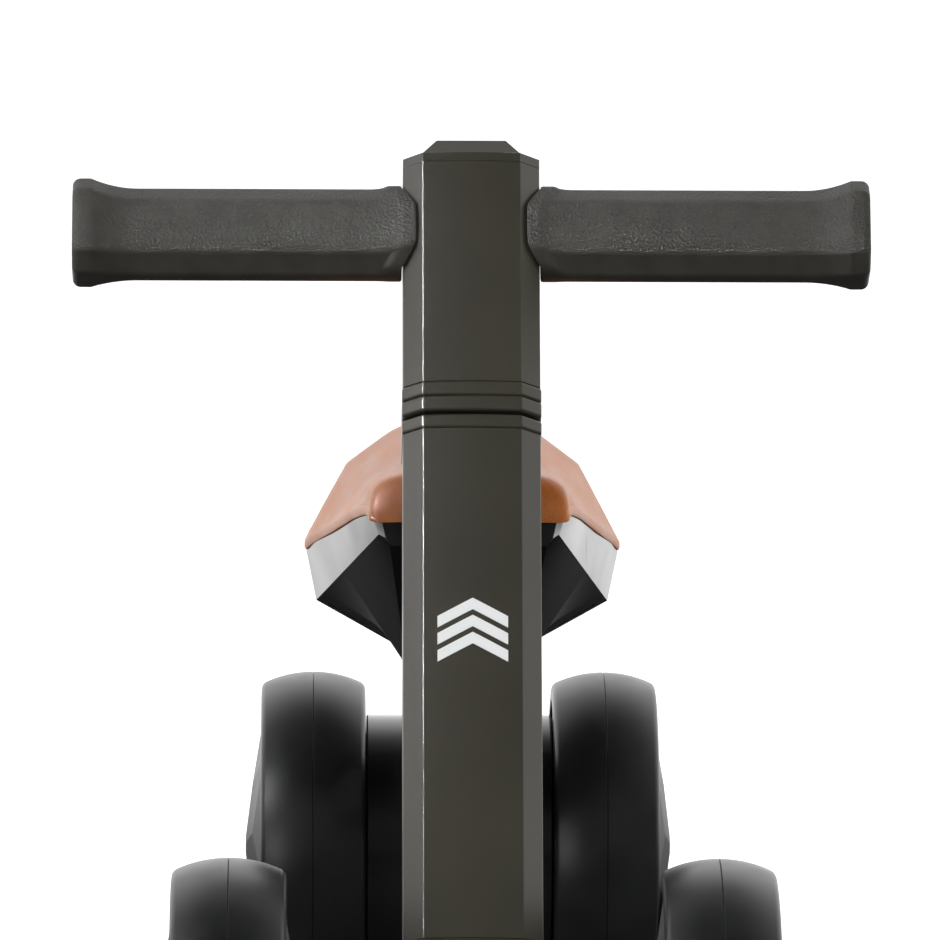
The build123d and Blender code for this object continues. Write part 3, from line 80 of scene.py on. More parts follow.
def camera_ray_mix(tree, seen, felt, kind="RGBA"):
    """One value for what the camera sees directly and another for every other ray."""
    ray = tree.nodes.new("ShaderNodeLightPath")
    choose = tree.nodes.new("ShaderNodeMix")
    choose.data_type = kind
    first, second, out = (6, 7, 2) if kind == "RGBA" else (2, 3, 0)
    tree.links.new(ray.outputs["Is Camera Ray"], choose.inputs["Factor"])
    for socket, value in ((first, felt), (second, seen)):
        if isinstance(value, bpy.types.NodeSocket):
            tree.links.new(value, choose.inputs[socket])
        else:
            choose.inputs[socket].default_value = value
    return choose.outputs[out]


def grey_ramp(tree, value, stops):
    """Greys by a value, as (value, grey) stops; the values may run from -1 to 1."""
    spread = tree.nodes.new("ShaderNodeMapRange")
    spread.inputs["From Min"].default_value = -1.0
    tree.links.new(value, spread.inputs["Value"])
    ramp = tree.nodes.new("ShaderNodeValToRGB")
    ramp.color_ramp.interpolation = "EASE"
    elements = ramp.color_ramp.elements
    while len(elements) < len(stops):
        elements.new(0.5)
    for element, (place, grey) in zip(elements, stops):
        element.position = (place + 1) / 2
        element.color = (grey, grey, grey, 1)
    tree.links.new(spread.outputs[0], ramp.inputs[0])
    return ramp.outputs[0]


def multiply_colours(tree, first, second):
    made = tree.nodes.new("ShaderNodeMix")
    made.data_type = "RGBA"
    made.blend_type = "MULTIPLY"
    made.inputs["Factor"].default_value = 1.0
    tree.links.new(first, made.inputs[6])
    tree.links.new(second, made.inputs[7])
    return made.outputs[2]


def make_world():
    """A studio with a bright sweep behind and beside the bike, and dark in front of it."""
    world = bpy.data.worlds.new("studio")
    bpy.context.scene.world = world
    world.use_nodes = True
    tree = world.node_tree
    place = tree.nodes.new("ShaderNodeTexCoord")
    split = tree.nodes.new("ShaderNodeSeparateXYZ")
    tree.links.new(place.outputs["Generated"], split.inputs[0])
    depth = grey_ramp(tree, split.outputs["Y"], WORLD_DEPTH)
    height = grey_ramp(tree, split.outputs["Z"], WORLD_HEIGHT)
    both = multiply_colours(tree, depth, height)
    background = tree.nodes["Background"]
    tree.links.new(camera_ray_mix(tree, (1, 1, 1, 1), both), background.inputs["Color"])
    background.inputs["Strength"].default_value = WORLD_STRENGTH


def area_light(name, place, aim, size, power, mirrored=True):
    """A softbox of `size` (across, up) at `place` that faces `aim`."""
    data = bpy.data.lights.new(name, "AREA")
    data.shape = "RECTANGLE"
    data.size, data.size_y = size
    data.energy = power
    light = bpy.data.objects.new(name, data)
    light.location = place
    light.rotation_euler = (Vector(aim) - Vector(place)).to_track_quat("-Z", "Y").to_euler()
    light.visible_glossy = mirrored
    bpy.context.scene.collection.objects.link(light)
    return light


# Softboxes: where they stand and face in metres, their size across and up, and their watts
HEAD = Vector((0.0, -0.08, 0.28))
KEY_PLACE = HEAD + Vector((-0.80, -0.29, 0.525)) * 2.6
KEY_SIZE, KEY_WATTS = (0.5, 0.9), 19.0
EDGE_PLACE = HEAD + Vector((-0.74, -0.37, 0.565)) * 2.2
EDGE_SIZE, EDGE_WATTS, EDGE_SPREAD = (0.1, 0.3), 0.6, radians(10.0)
LOW_PLACE, LOW_AIM = (-1.3, -1.25, 0.22), (-0.05, 0.1, 0.1)
LOW_SIZE, LOW_WATTS = (0.8, 0.9), 5.5
FRONT_PLACE = (0.35, -2.7, 1.1)
FRONT_SIZE, FRONT_WATTS = (2.0, 1.4), 34.0
RIGHT_PLACE = (2.1, -0.7, 1.2)
RIGHT_SIZE, RIGHT_WATTS = (1.2, 1.2), 16.0


def make_lights():
    """A key from the left, a gloss-only strip for the stem's edge, a low strip and two fills."""
    area_light("key_softbox", KEY_PLACE, HEAD, KEY_SIZE, KEY_WATTS)
    edge = area_light("edge_strip", EDGE_PLACE, HEAD, EDGE_SIZE, EDGE_WATTS)
    edge.visible_diffuse = False
    edge.data.spread = EDGE_SPREAD
    area_light("low_strip", LOW_PLACE, LOW_AIM, LOW_SIZE, LOW_WATTS)
    area_light("front_fill", FRONT_PLACE, HEAD, FRONT_SIZE, FRONT_WATTS, mirrored=False)
    area_light("right_fill", RIGHT_PLACE, HEAD, RIGHT_SIZE, RIGHT_WATTS, mirrored=False)


# ---------------------------------------------------------------- node helpers
def new_material(name):
    """A Principled material with nothing else in it: returns (material, tree, shader)."""
    material = bpy.data.materials.new(name)
    material.use_nodes = True
    tree = material.node_tree
    return material, tree, tree.nodes["Principled BSDF"]


def node(tree, kind, **values):
    """A node with its named inputs set."""
    made = tree.nodes.new(kind)
    for key, value in values.items():
        made.inputs[key].default_value = value
    return made


def texture_place(tree, stretch=(1.0, 1.0, 1.0), turn=(0.0, 0.0, 0.0)):
    """The piece's own coordinates in metres, stretched for streaky patterns."""
    place = tree.nodes.new("ShaderNodeTexCoord")
    mapping = tree.nodes.new("ShaderNodeMapping")
    mapping.inputs["Scale"].default_value = stretch
    mapping.inputs["Rotation"].default_value = turn
    tree.links.new(place.outputs["Object"], mapping.inputs["Vector"])
    return mapping.outputs[0]


def noise_value(tree, vector, size, detail=4.0, rough=0.5):
    """Noise whose blobs are about `size` metres across."""
    made = node(tree, "ShaderNodeTexNoise", Scale=1.0 / size, Detail=detail, Roughness=rough)
    tree.links.new(vector, made.inputs["Vector"])
    return made.outputs["Fac"]


def cells(tree, vector, size):
    """Rounded cells about `size` metres across."""
    made = node(tree, "ShaderNodeTexVoronoi", Scale=1.0 / size)
    tree.links.new(vector, made.inputs["Vector"])
    return made.outputs["Distance"]


def remap(tree, value, low, high, new_low, new_high):
    made = tree.nodes.new("ShaderNodeMapRange")
    made.inputs["From Min"].default_value = low
    made.inputs["From Max"].default_value = high
    made.inputs["To Min"].default_value = new_low
    made.inputs["To Max"].default_value = new_high
    tree.links.new(value, made.inputs["Value"])
    return made.outputs[0]


def tint(tree, value, low, high):
    """A colour between two, by a value from 0 to 1."""
    ramp = tree.nodes.new("ShaderNodeValToRGB")
    ramp.color_ramp.elements[0].color = (*low, 1)
    ramp.color_ramp.elements[1].color = (*high, 1)
    tree.links.new(value, ramp.inputs[0])
    return ramp.outputs[0]


def scale_colour(colour, factor):
    return tuple(channel * factor for channel in colour)


# Noise of the kinds below stays mostly between these two values
NOISE_LOW = 0.3
NOISE_HIGH = 0.7


def by_noise(tree, value, low, high):
    """A number that goes from `low` to `high` with a noise value."""
    return remap(tree, value, NOISE_LOW, NOISE_HIGH, low, high)


def drifting_colour(tree, shader, value, low, high):
    """The base colour drifts from `low` to `high` with a noise value."""
    colours = tint(tree, by_noise(tree, value, 0.0, 1.0), low, high)
    tree.links.new(colours, shader.inputs["Base Color"])


def drifting_gloss(tree, shader, value, low, high):
    """The roughness drifts from `low` to `high` with a noise value."""
    tree.links.new(by_noise(tree, value, low, high), shader.inputs["Roughness"])


def add_bump(tree, shader, height, distance, strength=1.0):
    bump = tree.nodes.new("ShaderNodeBump")
    bump.inputs["Distance"].default_value = distance
    bump.inputs["Strength"].default_value = strength
    tree.links.new(height, bump.inputs["Height"])
    tree.links.new(bump.outputs[0], shader.inputs["Normal"])


def add_values(tree, first, second):
    made = tree.nodes.new("ShaderNodeMath")
    tree.links.new(first, made.inputs[0])
    tree.links.new(second, made.inputs[1])
    return made.outputs[0]


# ---------------------------------------------------------------- materials
# Base colours, linear: one for a material whose pattern scales it, or the two it drifts between
STEM_GREEN = (0.040, 0.037, 0.026)
FRAME_GREEN = (0.034, 0.0325, 0.0235)
SEAT_BLACK = (0.010, 0.0105, 0.0100)
WHEEL_BLACK = (0.011, 0.012, 0.0115)
GRIP_GREYS = (0.028, 0.0265, 0.0215), (0.039, 0.037, 0.0305)
TYRE_BLACKS = (0.0075, 0.008, 0.008), (0.0125, 0.013, 0.013)
LEATHER_TANS = (0.36, 0.100, 0.015), (0.49, 0.150, 0.024)
STEEL_GREYS = (0.42, 0.42, 0.43), (0.66, 0.66, 0.67)
SCREW_BLACKS = (0.012, 0.012, 0.013), (0.03, 0.03, 0.031)
PEARL_WHITES = (0.90, 0.95, 0.95), (0.95, 0.94, 0.93)


def paint(name, colour, rough):
    """Satin powder coat: a very fine orange peel and a slight drift of its colour."""
    material, tree, shader = new_material(name)
    place = texture_place(tree)
    drift = noise_value(tree, place, 45 * MM, 3.0)
    drifting_colour(tree, shader, drift, scale_colour(colour, 0.9), scale_colour(colour, 1.12))
    peel = noise_value(tree, place, 0.6 * MM, 2.0)
    drifting_gloss(tree, shader, peel, rough - 0.04, rough + 0.05)
    add_bump(tree, shader, peel, 0.02 * MM, 0.5)
    return material


def moulding(name, colour, rough, blotch):
    """Moulded plastic: the gloss drifts in soft patches, as it does on a moulded face."""
    material, tree, shader = new_material(name)
    place = texture_place(tree)
    patch = noise_value(tree, place, 50 * MM, 1.5)
    drifting_gloss(tree, shader, patch, rough - blotch, rough + blotch)
    drifting_colour(tree, shader, patch, scale_colour(colour, 0.85), scale_colour(colour, 1.2))
    add_bump(tree, shader, noise_value(tree, place, 0.8 * MM, 2.0), 0.03 * MM, 0.6)
    return material


def shaded_underside_moulding(name, colour):
    """The same plastic on the seat's underside, rougher and with its reflection turned down, which darkens the
    underside as painted shade.
    """
    material, tree, shader = new_material(name)
    place = texture_place(tree)
    patch = noise_value(tree, place, 20 * MM, 3.0)
    drifting_colour(tree, shader, patch, scale_colour(colour, 0.85), scale_colour(colour, 1.2))
    shader.inputs["Roughness"].default_value = 0.6
    # Painted shade: the low reflection darkens the faces that look down
    shader.inputs["Specular IOR Level"].default_value = 0.12
    add_bump(tree, shader, noise_value(tree, place, 0.6 * MM, 3.0), 0.06 * MM, 0.6)
    return material


def grip_rubber(name, grained):
    """Soft moulded rubber; the upper facets carry a pebbled leather grain."""
    material, tree, shader = new_material(name)
    place = texture_place(tree)
    patch = noise_value(tree, place, 10 * MM, 4.0)
    drifting_colour(tree, shader, patch, *GRIP_GREYS)
    shader.inputs["Roughness"].default_value = 0.66 if grained else 0.5
    if grained:
        pebbles = cells(tree, place, 1.2 * MM)
        grain = add_values(tree, pebbles, noise_value(tree, place, 0.9 * MM, 4.0, 0.65))
        add_bump(tree, shader, grain, 0.6 * MM, 0.7)
    else:
        add_bump(tree, shader, noise_value(tree, place, 0.6 * MM, 3.0), 0.04 * MM, 0.5)
    return material


def tyre_rubber(name):
    """Foam rubber tyre: near black, with a soft sheen that drifts a little."""
    material, tree, shader = new_material(name)
    place = texture_place(tree)
    patch = noise_value(tree, place, 20 * MM, 4.0)
    drifting_colour(tree, shader, patch, *TYRE_BLACKS)
    drifting_gloss(tree, shader, patch, 0.32, 0.40)
    add_bump(tree, shader, noise_value(tree, place, 0.9 * MM, 3.0), 0.04 * MM, 0.5)
    return material


def leather(name):
    """Tan leather-look cover: brushed streaks along the seat over a fine pebbled grain."""
    material, tree, shader = new_material(name)
    place = texture_place(tree)
    along_seat = texture_place(tree, stretch=(1.0, 0.22, 1.0), turn=(0.0, 0.0, 0.35))
    streaks = noise_value(tree, along_seat, 11 * MM, 5.0, 0.6)
    broad = noise_value(tree, place, 40 * MM, 2.0)
    both = add_values(tree, streaks, broad)
    colours = tint(tree, remap(tree, both, 0.75, 1.25, 0.0, 1.0), *LEATHER_TANS)
    tree.links.new(colours, shader.inputs["Base Color"])
    drifting_gloss(tree, shader, streaks, 0.38, 0.52)
    grain = cells(tree, place, 1.1 * MM)
    wrinkles = add_values(tree, grain, noise_value(tree, place, 0.7 * MM, 3.0))
    add_bump(tree, shader, wrinkles, 0.16 * MM, 0.6)
    return material


def bare_steel(name):
    """Turned steel: fine lines across a bright grey."""
    material, tree, shader = new_material(name)
    place = texture_place(tree, stretch=(0.2, 1.0, 1.0))
    lines = noise_value(tree, place, 0.4 * MM, 2.0)
    drifting_colour(tree, shader, lines, *STEEL_GREYS)
    shader.inputs["Metallic"].default_value = 1.0
    drifting_gloss(tree, shader, lines, 0.25, 0.42)
    return material


def black_screw(name):
    """Blackened steel, speckled where the finish is thin."""
    material, tree, shader = new_material(name)
    patch = noise_value(tree, texture_place(tree), 1.0 * MM, 3.0)
    drifting_colour(tree, shader, patch, *SCREW_BLACKS)
    shader.inputs["Metallic"].default_value = 0.6
    shader.inputs["Roughness"].default_value = 0.32
    return material


def pearl(name):
    """Pearl white print: faint drifts of cool and warm white."""
    material, tree, shader = new_material(name)
    drift = noise_value(tree, texture_place(tree), 9 * MM, 2.0)
    drifting_colour(tree, shader, drift, *PEARL_WHITES)
    shader.inputs["Roughness"].default_value = 0.3
    shader.inputs["Coat Weight"].default_value = 0.4
    return material


# From FLOOR_TURN to FLOOR_BRIGHT metres behind the bike's middle, the floor that lights the
# bike goes from the grey FLOOR_NEAR to FLOOR_FAR, and its glow from none to FLOOR_GLOW
FLOOR_TURN = 0.48
FLOOR_BRIGHT = 0.85
FLOOR_NEAR = 0.10
FLOOR_FAR = 0.85
FLOOR_GLOW = 1.2
FLOOR_SEEN_GLOW = 0.55
PAPER_WHITES = (0.93, 0.93, 0.93), (0.95, 0.95, 0.95)
BLACK = (0, 0, 0)
WHITE = (1, 1, 1)


def floor_material():
    """White paper that throws little light back under and in front of the bike."""
    material, tree, shader = new_material("floor_paper")
    drift = noise_value(tree, texture_place(tree), 1.2, 2.0)
    seen = tint(tree, drift, *PAPER_WHITES)
    split = tree.nodes.new("ShaderNodeSeparateXYZ")
    tree.links.new(texture_place(tree), split.inputs[0])
    depth = remap(tree, split.outputs["Y"], FLOOR_TURN, FLOOR_BRIGHT, FLOOR_NEAR, FLOOR_FAR)
    felt = tint(tree, depth, BLACK, WHITE)
    tree.links.new(camera_ray_mix(tree, seen, felt), shader.inputs["Base Color"])
    glow = remap(tree, split.outputs["Y"], FLOOR_TURN, FLOOR_BRIGHT, 0.0, FLOOR_GLOW)
    strength = camera_ray_mix(tree, FLOOR_SEEN_GLOW, glow, "FLOAT")
    tree.links.new(strength, shader.inputs["Emission Strength"])
    white = camera_ray_mix(tree, (*WHITE, 1), felt)
    tree.links.new(white, shader.inputs["Emission Color"])
    shader.inputs["Roughness"].default_value = 0.9
    shader.inputs["Specular IOR Level"].default_value = 0.1
    return material


MATERIALS = {
    "stem_paint": paint("stem_paint", STEM_GREEN, 0.34),
    "frame_paint": paint("frame_paint", FRAME_GREEN, 0.40),
    # A darker, less reflective copy of the seat's plastic for its downward faces: painted shade
    "black_moulding_matt": shaded_underside_moulding("black_moulding_matt", SEAT_BLACK),
    "black_moulding": moulding("black_moulding", SEAT_BLACK, 0.22, 0.04),
    "wheel_moulding": moulding("wheel_moulding", WHEEL_BLACK, 0.40, 0.03),
    "steel": bare_steel("steel"),
    "black_steel": black_screw("black_steel"),
    "grip_rubber": grip_rubber("grip_rubber", True),
    "grip_rubber_smooth": grip_rubber("grip_rubber_smooth", False),
    "tyre_rubber": tyre_rubber("tyre_rubber"),
    "seat_leather": leather("seat_leather"),
    "pearl_print": pearl("pearl_print"),
}
SLOT_OF = {part["node"]: part["material_slot"] for part in frame["record"]["subparts"]}


def dress_nodes():
    """Every CAD node gets its slot's material."""
    for name, piece in frame["nodes"].items():
        piece.data.materials.clear()
        piece.data.materials.append(MATERIALS[SLOT_OF[name]])


def make_floor():
    """A square of paper on the floor plane, which isn't part of the bike."""
    mesh = bpy.data.meshes.new("floor")
    corners = [(-1, -1), (1, -1), (1, 1), (-1, 1)]
    points = [(x * FLOOR_HALF, y * FLOOR_HALF, 0.0) for x, y in corners]
    mesh.from_pydata(points, [], [(0, 1, 2, 3)])
    floor = bpy.data.objects.new("floor", mesh)
    bpy.context.scene.collection.objects.link(floor)
    floor.data.materials.append(floor_material())


# ---------------------------------------------------------------- mesh helpers
def body_with(node_name):
    """The body that a CAD node rides on."""
    bodies = frame["record"]["behaviour"]["bodies"]
    return next(body for body, names in bodies.items() if node_name in names)


def centre_of(node_name):
    low, high = (Vector(corner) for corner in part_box(node_name))
    return (low + high) / 2


def piece_from(name, shape, stands_for, slots, sharp):
    """Turns a bmesh into a piece that stands for one CAD node, smooth up to `sharp` degrees."""
    bmesh.ops.recalc_face_normals(shape, faces=shape.faces)
    mesh = bpy.data.meshes.new(name)
    shape.to_mesh(mesh)
    shape.free()
    mesh.shade_smooth()
    mesh.set_sharp_from_angle(angle=radians(sharp))
    piece = bpy.data.objects.new(name, mesh)
    bpy.context.scene.collection.objects.link(piece)
    for slot in slots:
        mesh.materials.append(MATERIALS[slot])
    weighted = piece.modifiers.new("even_normals", "WEIGHTED_NORMAL")
    weighted.keep_sharp = True
    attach(piece, body_with(stands_for))
    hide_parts(stands_for)
    return piece


def rounded_corners(corners, radius, steps):
    """A closed outline with an arc at each corner, and always as many points."""
    outline = []
    befores, afters = corners[-1:] + corners[:-1], corners[1:] + corners[:1]
    for before, corner, after in zip(befores, corners, afters):
        inward = (before - corner).normalized()
        onward = (after - corner).normalized()
        half = inward.angle(onward) / 2
        centre = corner + (inward + onward).normalized() * radius / sin(half)
        start = corner + inward * radius / tan(half) - centre
        end = corner + onward * radius / tan(half) - centre
        for k in range(steps + 1):
            outline.append(centre + start.lerp(end, k / steps).normalized() * radius)
    return outline


def mix_outlines(first, second, share):
    """The outline that lies the given share of the way from the first to the second."""
    return [a.lerp(b, share) for a, b in zip(first, second)]


def skin(shape, rings):
    """Quads from ring to ring of a bmesh, closed by a fan at either end."""
    rows = [[shape.verts.new(point) for point in ring] for ring in rings]
    count = len(rows[0])
    for near, far in zip(rows, rows[1:]):
        for k in range(count):
            j = (k + 1) % count
            shape.faces.new((near[k], near[j], far[j], far[k]))
    for row in (rows[0], rows[-1]):
        middle = shape.verts.new(sum((vert.co for vert in row), Vector()) / count)
        for k in range(count):
            shape.faces.new((row[k], row[(k + 1) % count], middle))


# ---------------------------------------------------------------- steering frame
# The steering axis, with the bike's left and the way back across the axis
STEERING = next(joint for joint in frame["joints"] if joint["name"] == "steering_turn")
STEER_FOOT = Vector(STEERING["pos_m"])
STEER_UP = Vector(STEERING["axis"]).normalized()
STEER_LEFT = Vector((1.0, 0.0, 0.0))
STEER_BACK = STEER_UP.cross(STEER_LEFT)

# ---------------------------------------------------------------- grips
STEM_HALF_WIDTH = 25.55 * MM
STEM_HALF_DEPTH = 25.5 * MM
STEM_CHAMFER = 7.35 * MM
STEM_GAP = 0.45 * MM
# Cross-sections as octagons: height, depth, chamfer up and chamfer back in millimetres
COLLAR_SECTION, COLLAR_ROUND = (36.8, 24.0, 10.6, 6.4), 9.0 * MM
BODY_SECTION, BODY_ROUND = (35.4, 20.0, 7.6, 7.0), 4.5 * MM
FLANGE_SECTION, FLANGE_ROUND = (38.0, 30.0, 7.0, 7.0), 3.0 * MM
CORNER_STEPS = 7
# The ring on the stem's side grows over these shares of the collar's outline
ROOT_SHARES = (0.25, 0.5, 0.75)
# Its rim turns outward over these pairs of inset and distance from the stem, in millimetres
RIM_TURNS = ((0.9, 0.0), (0.25, 0.2), (0.0, 0.8))
COLLAR_WIDTH = 4.4 * MM
ROOT_FLARE = 4.6 * MM
BODY_START = 38.0 * MM
BODY_RISE = -0.6 * MM
END_THICKNESS = 6.8 * MM
END_FLARE = 17.5 * MM
END_ROUND = 3.0 * MM
FLARE_STEPS = 12
END_STEPS = 6
# Facets that face further down than this along the stem are smooth, without grain
GRAIN_LIMIT = -0.35


def octagon(height, depth, chamfer_up, chamfer_back):
    """The corners of an octagon, as (back, up) in metres, from sizes in millimetres."""
    up, back = height / 2, depth / 2
    quarter = [(back - chamfer_back, up), (back, up - chamfer_up)]
    corners = quarter + [(b, -u) for b, u in reversed(quarter)]
    corners += [(-b, -u) for b, u in quarter] + [(-b, u) for b, u in reversed(quarter)]
    return [Vector(corner) * MM for corner in corners]


def grip_outlines():
    """The grip's cross-sections: the collar at the stem, the body and the end flange."""
    collar = rounded_corners(octagon(*COLLAR_SECTION), COLLAR_ROUND, CORNER_STEPS)
    body = rounded_corners(octagon(*BODY_SECTION), BODY_ROUND, CORNER_STEPS)
    body = [point + Vector((0.0, BODY_RISE)) for point in body]
    flange = rounded_corners(octagon(*FLANGE_SECTION), FLANGE_ROUND, CORNER_STEPS)
    return collar, body, flange


def beside_stem(back):
    """How far from the middle the stem's side lies, at a place `back` of its axis."""
    past_corner = STEM_HALF_DEPTH - STEM_CHAMFER - abs(back)
    return STEM_HALF_WIDTH + min(STEM_GAP, past_corner + STEM_GAP * sqrt(2))


def inset_outline(outline, inset):
    """The same outline drawn in towards its middle by about `inset`."""
    return [point * max(0.0, 1 - inset / point.length) for point in outline]


def grip_rings(bar, end_x):
    """The grip's rings from its middle on the stem out to its end, for the left side."""
    collar, body, flange = grip_outlines()
    bar_back = (bar - STEER_FOOT).dot(STEER_BACK)

    def ring(outline, x_of):
        return [bar + STEER_LEFT * x_of(p.x) + STEER_BACK * p.x + STEER_UP * p.y for p in outline]

    def near_stem(outward):
        return lambda back: beside_stem(bar_back + back) + outward

    rings = [ring([point * share for point in collar], near_stem(0.0)) for share in ROOT_SHARES]
    for inset, outward in RIM_TURNS:
        rings.append(ring(inset_outline(collar, inset * MM), near_stem(outward * MM)))
    for k in range(FLARE_STEPS + 1):
        t = k / FLARE_STEPS
        swell = (1 + cos(pi * t)) / 2
        outward = COLLAR_WIDTH + ROOT_FLARE * t
        level = max(0.0, (t - 0.5) * 2) ** 2

        def place(back, outward=outward, level=level):
            followed = beside_stem(bar_back + back) + outward
            return followed * (1 - level) + BODY_START * level

        rings.append(ring(mix_outlines(body, collar, swell), place))
    flange_start = end_x - END_THICKNESS
    for k in range(FLARE_STEPS + 1):
        t = k / FLARE_STEPS
        x = flange_start - END_FLARE * (1 - t)
        rings.append(ring(mix_outlines(body, flange, t * t), lambda _, x=x: x))
    for k in range(END_STEPS + 1):
        turn = pi / 2 * k / END_STEPS
        x = end_x - END_ROUND * (1 - sin(turn))
        drawn_in = inset_outline(flange, END_ROUND * (1 - cos(turn)))
        rings.append(ring(drawn_in, lambda _, x=x: x))
    return rings


def make_grips():
    bar = centre_of("handlebar_core")
    for name, side in (("left_grip", 1), ("right_grip", -1)):
        rings = grip_rings(bar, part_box("left_grip")[1].x)
        if side < 0:
            rings = [[Vector((-p.x, p.y, p.z)) for p in ring] for ring in rings]
        shape = bmesh.new()
        skin(shape, rings)
        bmesh.ops.recalc_face_normals(shape, faces=shape.faces)
        for face in shape.faces:
            face.material_index = 1 if face.normal.dot(STEER_UP) < GRAIN_LIMIT else 0
        piece_from(f"{name}_rubber", shape, name, ("grip_rubber", "grip_rubber_smooth"), 50.0)


# ---------------------------------------------------------------- tyres
TYRE_RADIUS = 70.0 * MM
TYRE_BORE = 58.5 * MM
TYRE_TURNS = 144
TREAD_RADIUS = 46.0 * MM
TREAD_STEPS = 14
SHOULDER_X = 20.6 * MM
SHOULDER_ROUND = 1.8 * MM
SHOULDER_STEPS = 7
BELLY_HEIGHT = 2.6 * MM
LIP_HEIGHT = 0.8 * MM
LIP_ROUND = Vector((-0.25, -0.55)) * MM
SEAM_WIDTH = 0.3 * MM
SEAM_DEPTH = 0.3 * MM


def tread_height(x):
    """The tread's radius at `x` from its middle, on its flat crown arc."""
    return TYRE_RADIUS - TREAD_RADIUS + sqrt(TREAD_RADIUS**2 - x * x)


def tyre_profile(half):
    """Half of a tyre's outline as (x, r), from the seam groove in the tread to the bore."""
    profile = [Vector((0.0, TYRE_RADIUS - SEAM_DEPTH)), Vector((SEAM_WIDTH, TYRE_RADIUS))]
    first, last = SEAM_WIDTH * 1.5, SHOULDER_X - SHOULDER_ROUND
    for k in range(1, TREAD_STEPS + 1):
        x = first + (last - first) * k / TREAD_STEPS
        profile.append(Vector((x, tread_height(x))))
    corner = Vector((SHOULDER_X, tread_height(SHOULDER_X)))
    belly = Vector((half, TYRE_BORE + BELLY_HEIGHT))
    end = corner + (belly - corner).normalized() * SHOULDER_ROUND
    start = profile[-1]
    for k in range(1, SHOULDER_STEPS + 1):
        t = k / SHOULDER_STEPS
        profile.append(start.lerp(corner, t).lerp(corner.lerp(end, t), t))
    lip = Vector((half, TYRE_BORE + LIP_HEIGHT))
    profile += [end.lerp(belly, 0.5), belly.lerp(end, 0.2), belly.lerp(lip, 0.4), lip]
    profile += [lip + LIP_ROUND, Vector((half - LIP_HEIGHT, TYRE_BORE))]
    return profile


def make_tyre(name):
    low, high = (Vector(corner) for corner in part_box(name))
    centre = (low + high) / 2
    profile = tyre_profile((high.x - low.x) / 2)
    loop = profile + [Vector((-p.x, p.y)) for p in reversed(profile[1:])]
    shape = bmesh.new()
    rows = []
    for k in range(TYRE_TURNS):
        angle = 2 * pi * k / TYRE_TURNS
        spoke = Vector((0.0, cos(angle), sin(angle)))
        rows.append([shape.verts.new(centre + STEER_LEFT * p.x + spoke * p.y) for p in loop])
    count = len(loop)
    for near, far in zip(rows, rows[1:] + rows[:1]):
        for k in range(count):
            j = (k + 1) % count
            shape.faces.new((near[k], near[j], far[j], far[k]))
    piece_from(f"{name}_rubber", shape, name, ("tyre_rubber",), 40.0)


# ---------------------------------------------------------------- seat pad
# Stations of the pad: distance behind the tub's nose, edge half width, edge height, crown,
# half width of the kink, how steeply the bevel falls to it, how much the section is a plain
# rounded box, and how far the lip hangs down
PAD_STATIONS = (
    (0.0, 36.6, 242.9, 258.8, 33.6, 0.42, 1.0, 2.6),
    (16.0, 38.2, 241.5, 258.4, 34.6, 0.45, 1.0, 1.6),
    (44.0, 42.8, 234.8, 256.2, 35.5, 0.60, 0.1, 1.0),
    (97.0, 50.9, 221.9, 253.5, 39.5, 0.72, 0.0, 1.9),
    (147.0, 58.0, 210.6, 253.5, 43.6, 0.76, 0.0, 2.9),
    (169.0, 62.0, 204.2, 253.5, 46.0, 0.763, 0.0, 3.3),
    (202.0, 58.5, 206.0, 246.0, 43.0, 0.74, 0.2, 3.0),
    (226.0, 43.0, 213.0, 236.0, 32.0, 0.6, 0.8, 2.0),
)
PAD_LENGTH = PAD_STATIONS[-1][0]
PAD_RINGS = 64
PAD_BLUR = 7.0
BLUR_STEPS = 4
PAD_RIM = 4.5
PAD_GAP = 0.3
PAD_OVERHANG = 3.2
PAD_OUTSET = 0.8
# The crown is flat and then bends over these shares of the kink's half width
PAD_CROWN_FLAT = 0.35
PAD_CROWN_BEND = 0.34
CROWN_STEPS = 8
BEVEL_SHARES = (0.3, 0.6, 0.85, 0.95)
SIDE_SHARES = (0.06, 0.15, 0.3, 0.5, 0.7, 0.86, 0.95)
LIP_INSET = 0.5
PAD_DEPTH = 9.0
LEAST_HOLLOW = 0.5
PAD_BOX_POWER = 3.2
PAD_END_REACH = 11.0
PAD_END_DRAW = 0.12
PAD_END_TURN = pi / 2 * 0.96
PAD_END_STEPS = 12


def station_at(back):
    """The pad's station at one distance behind the nose, straight between the given ones."""
    for near, far in zip(PAD_STATIONS, PAD_STATIONS[1:]):
        if back <= far[0]:
            share = max(0.0, (back - near[0]) / (far[0] - near[0]))
            return [a + (b - a) * share for a, b in zip(near, far)][1:]
    return list(PAD_STATIONS[-1][1:])


def soft_station(back):
    """The same, with the bends at the stations eased over a short length."""
    reach = min(PAD_BLUR, back, PAD_LENGTH - back)
    steps = range(-BLUR_STEPS, BLUR_STEPS + 1)
    samples = [station_at(back + reach * k / BLUR_STEPS) for k in steps]
    return [sum(values) / len(samples) for values in zip(*samples)]


def boxed(x, z, edge_x, lip_z, crown, boxy):
    """A point of the pad's top, drawn towards a rounded box by the given share."""
    across, up = x / (edge_x - LIP_INSET), (z - lip_z) / (crown - lip_z)
    reach = (across**PAD_BOX_POWER + up**PAD_BOX_POWER) ** (-1 / PAD_BOX_POWER)
    scale = 1 + (reach - 1) * boxy
    return x * scale, lip_z + (z - lip_z) * scale


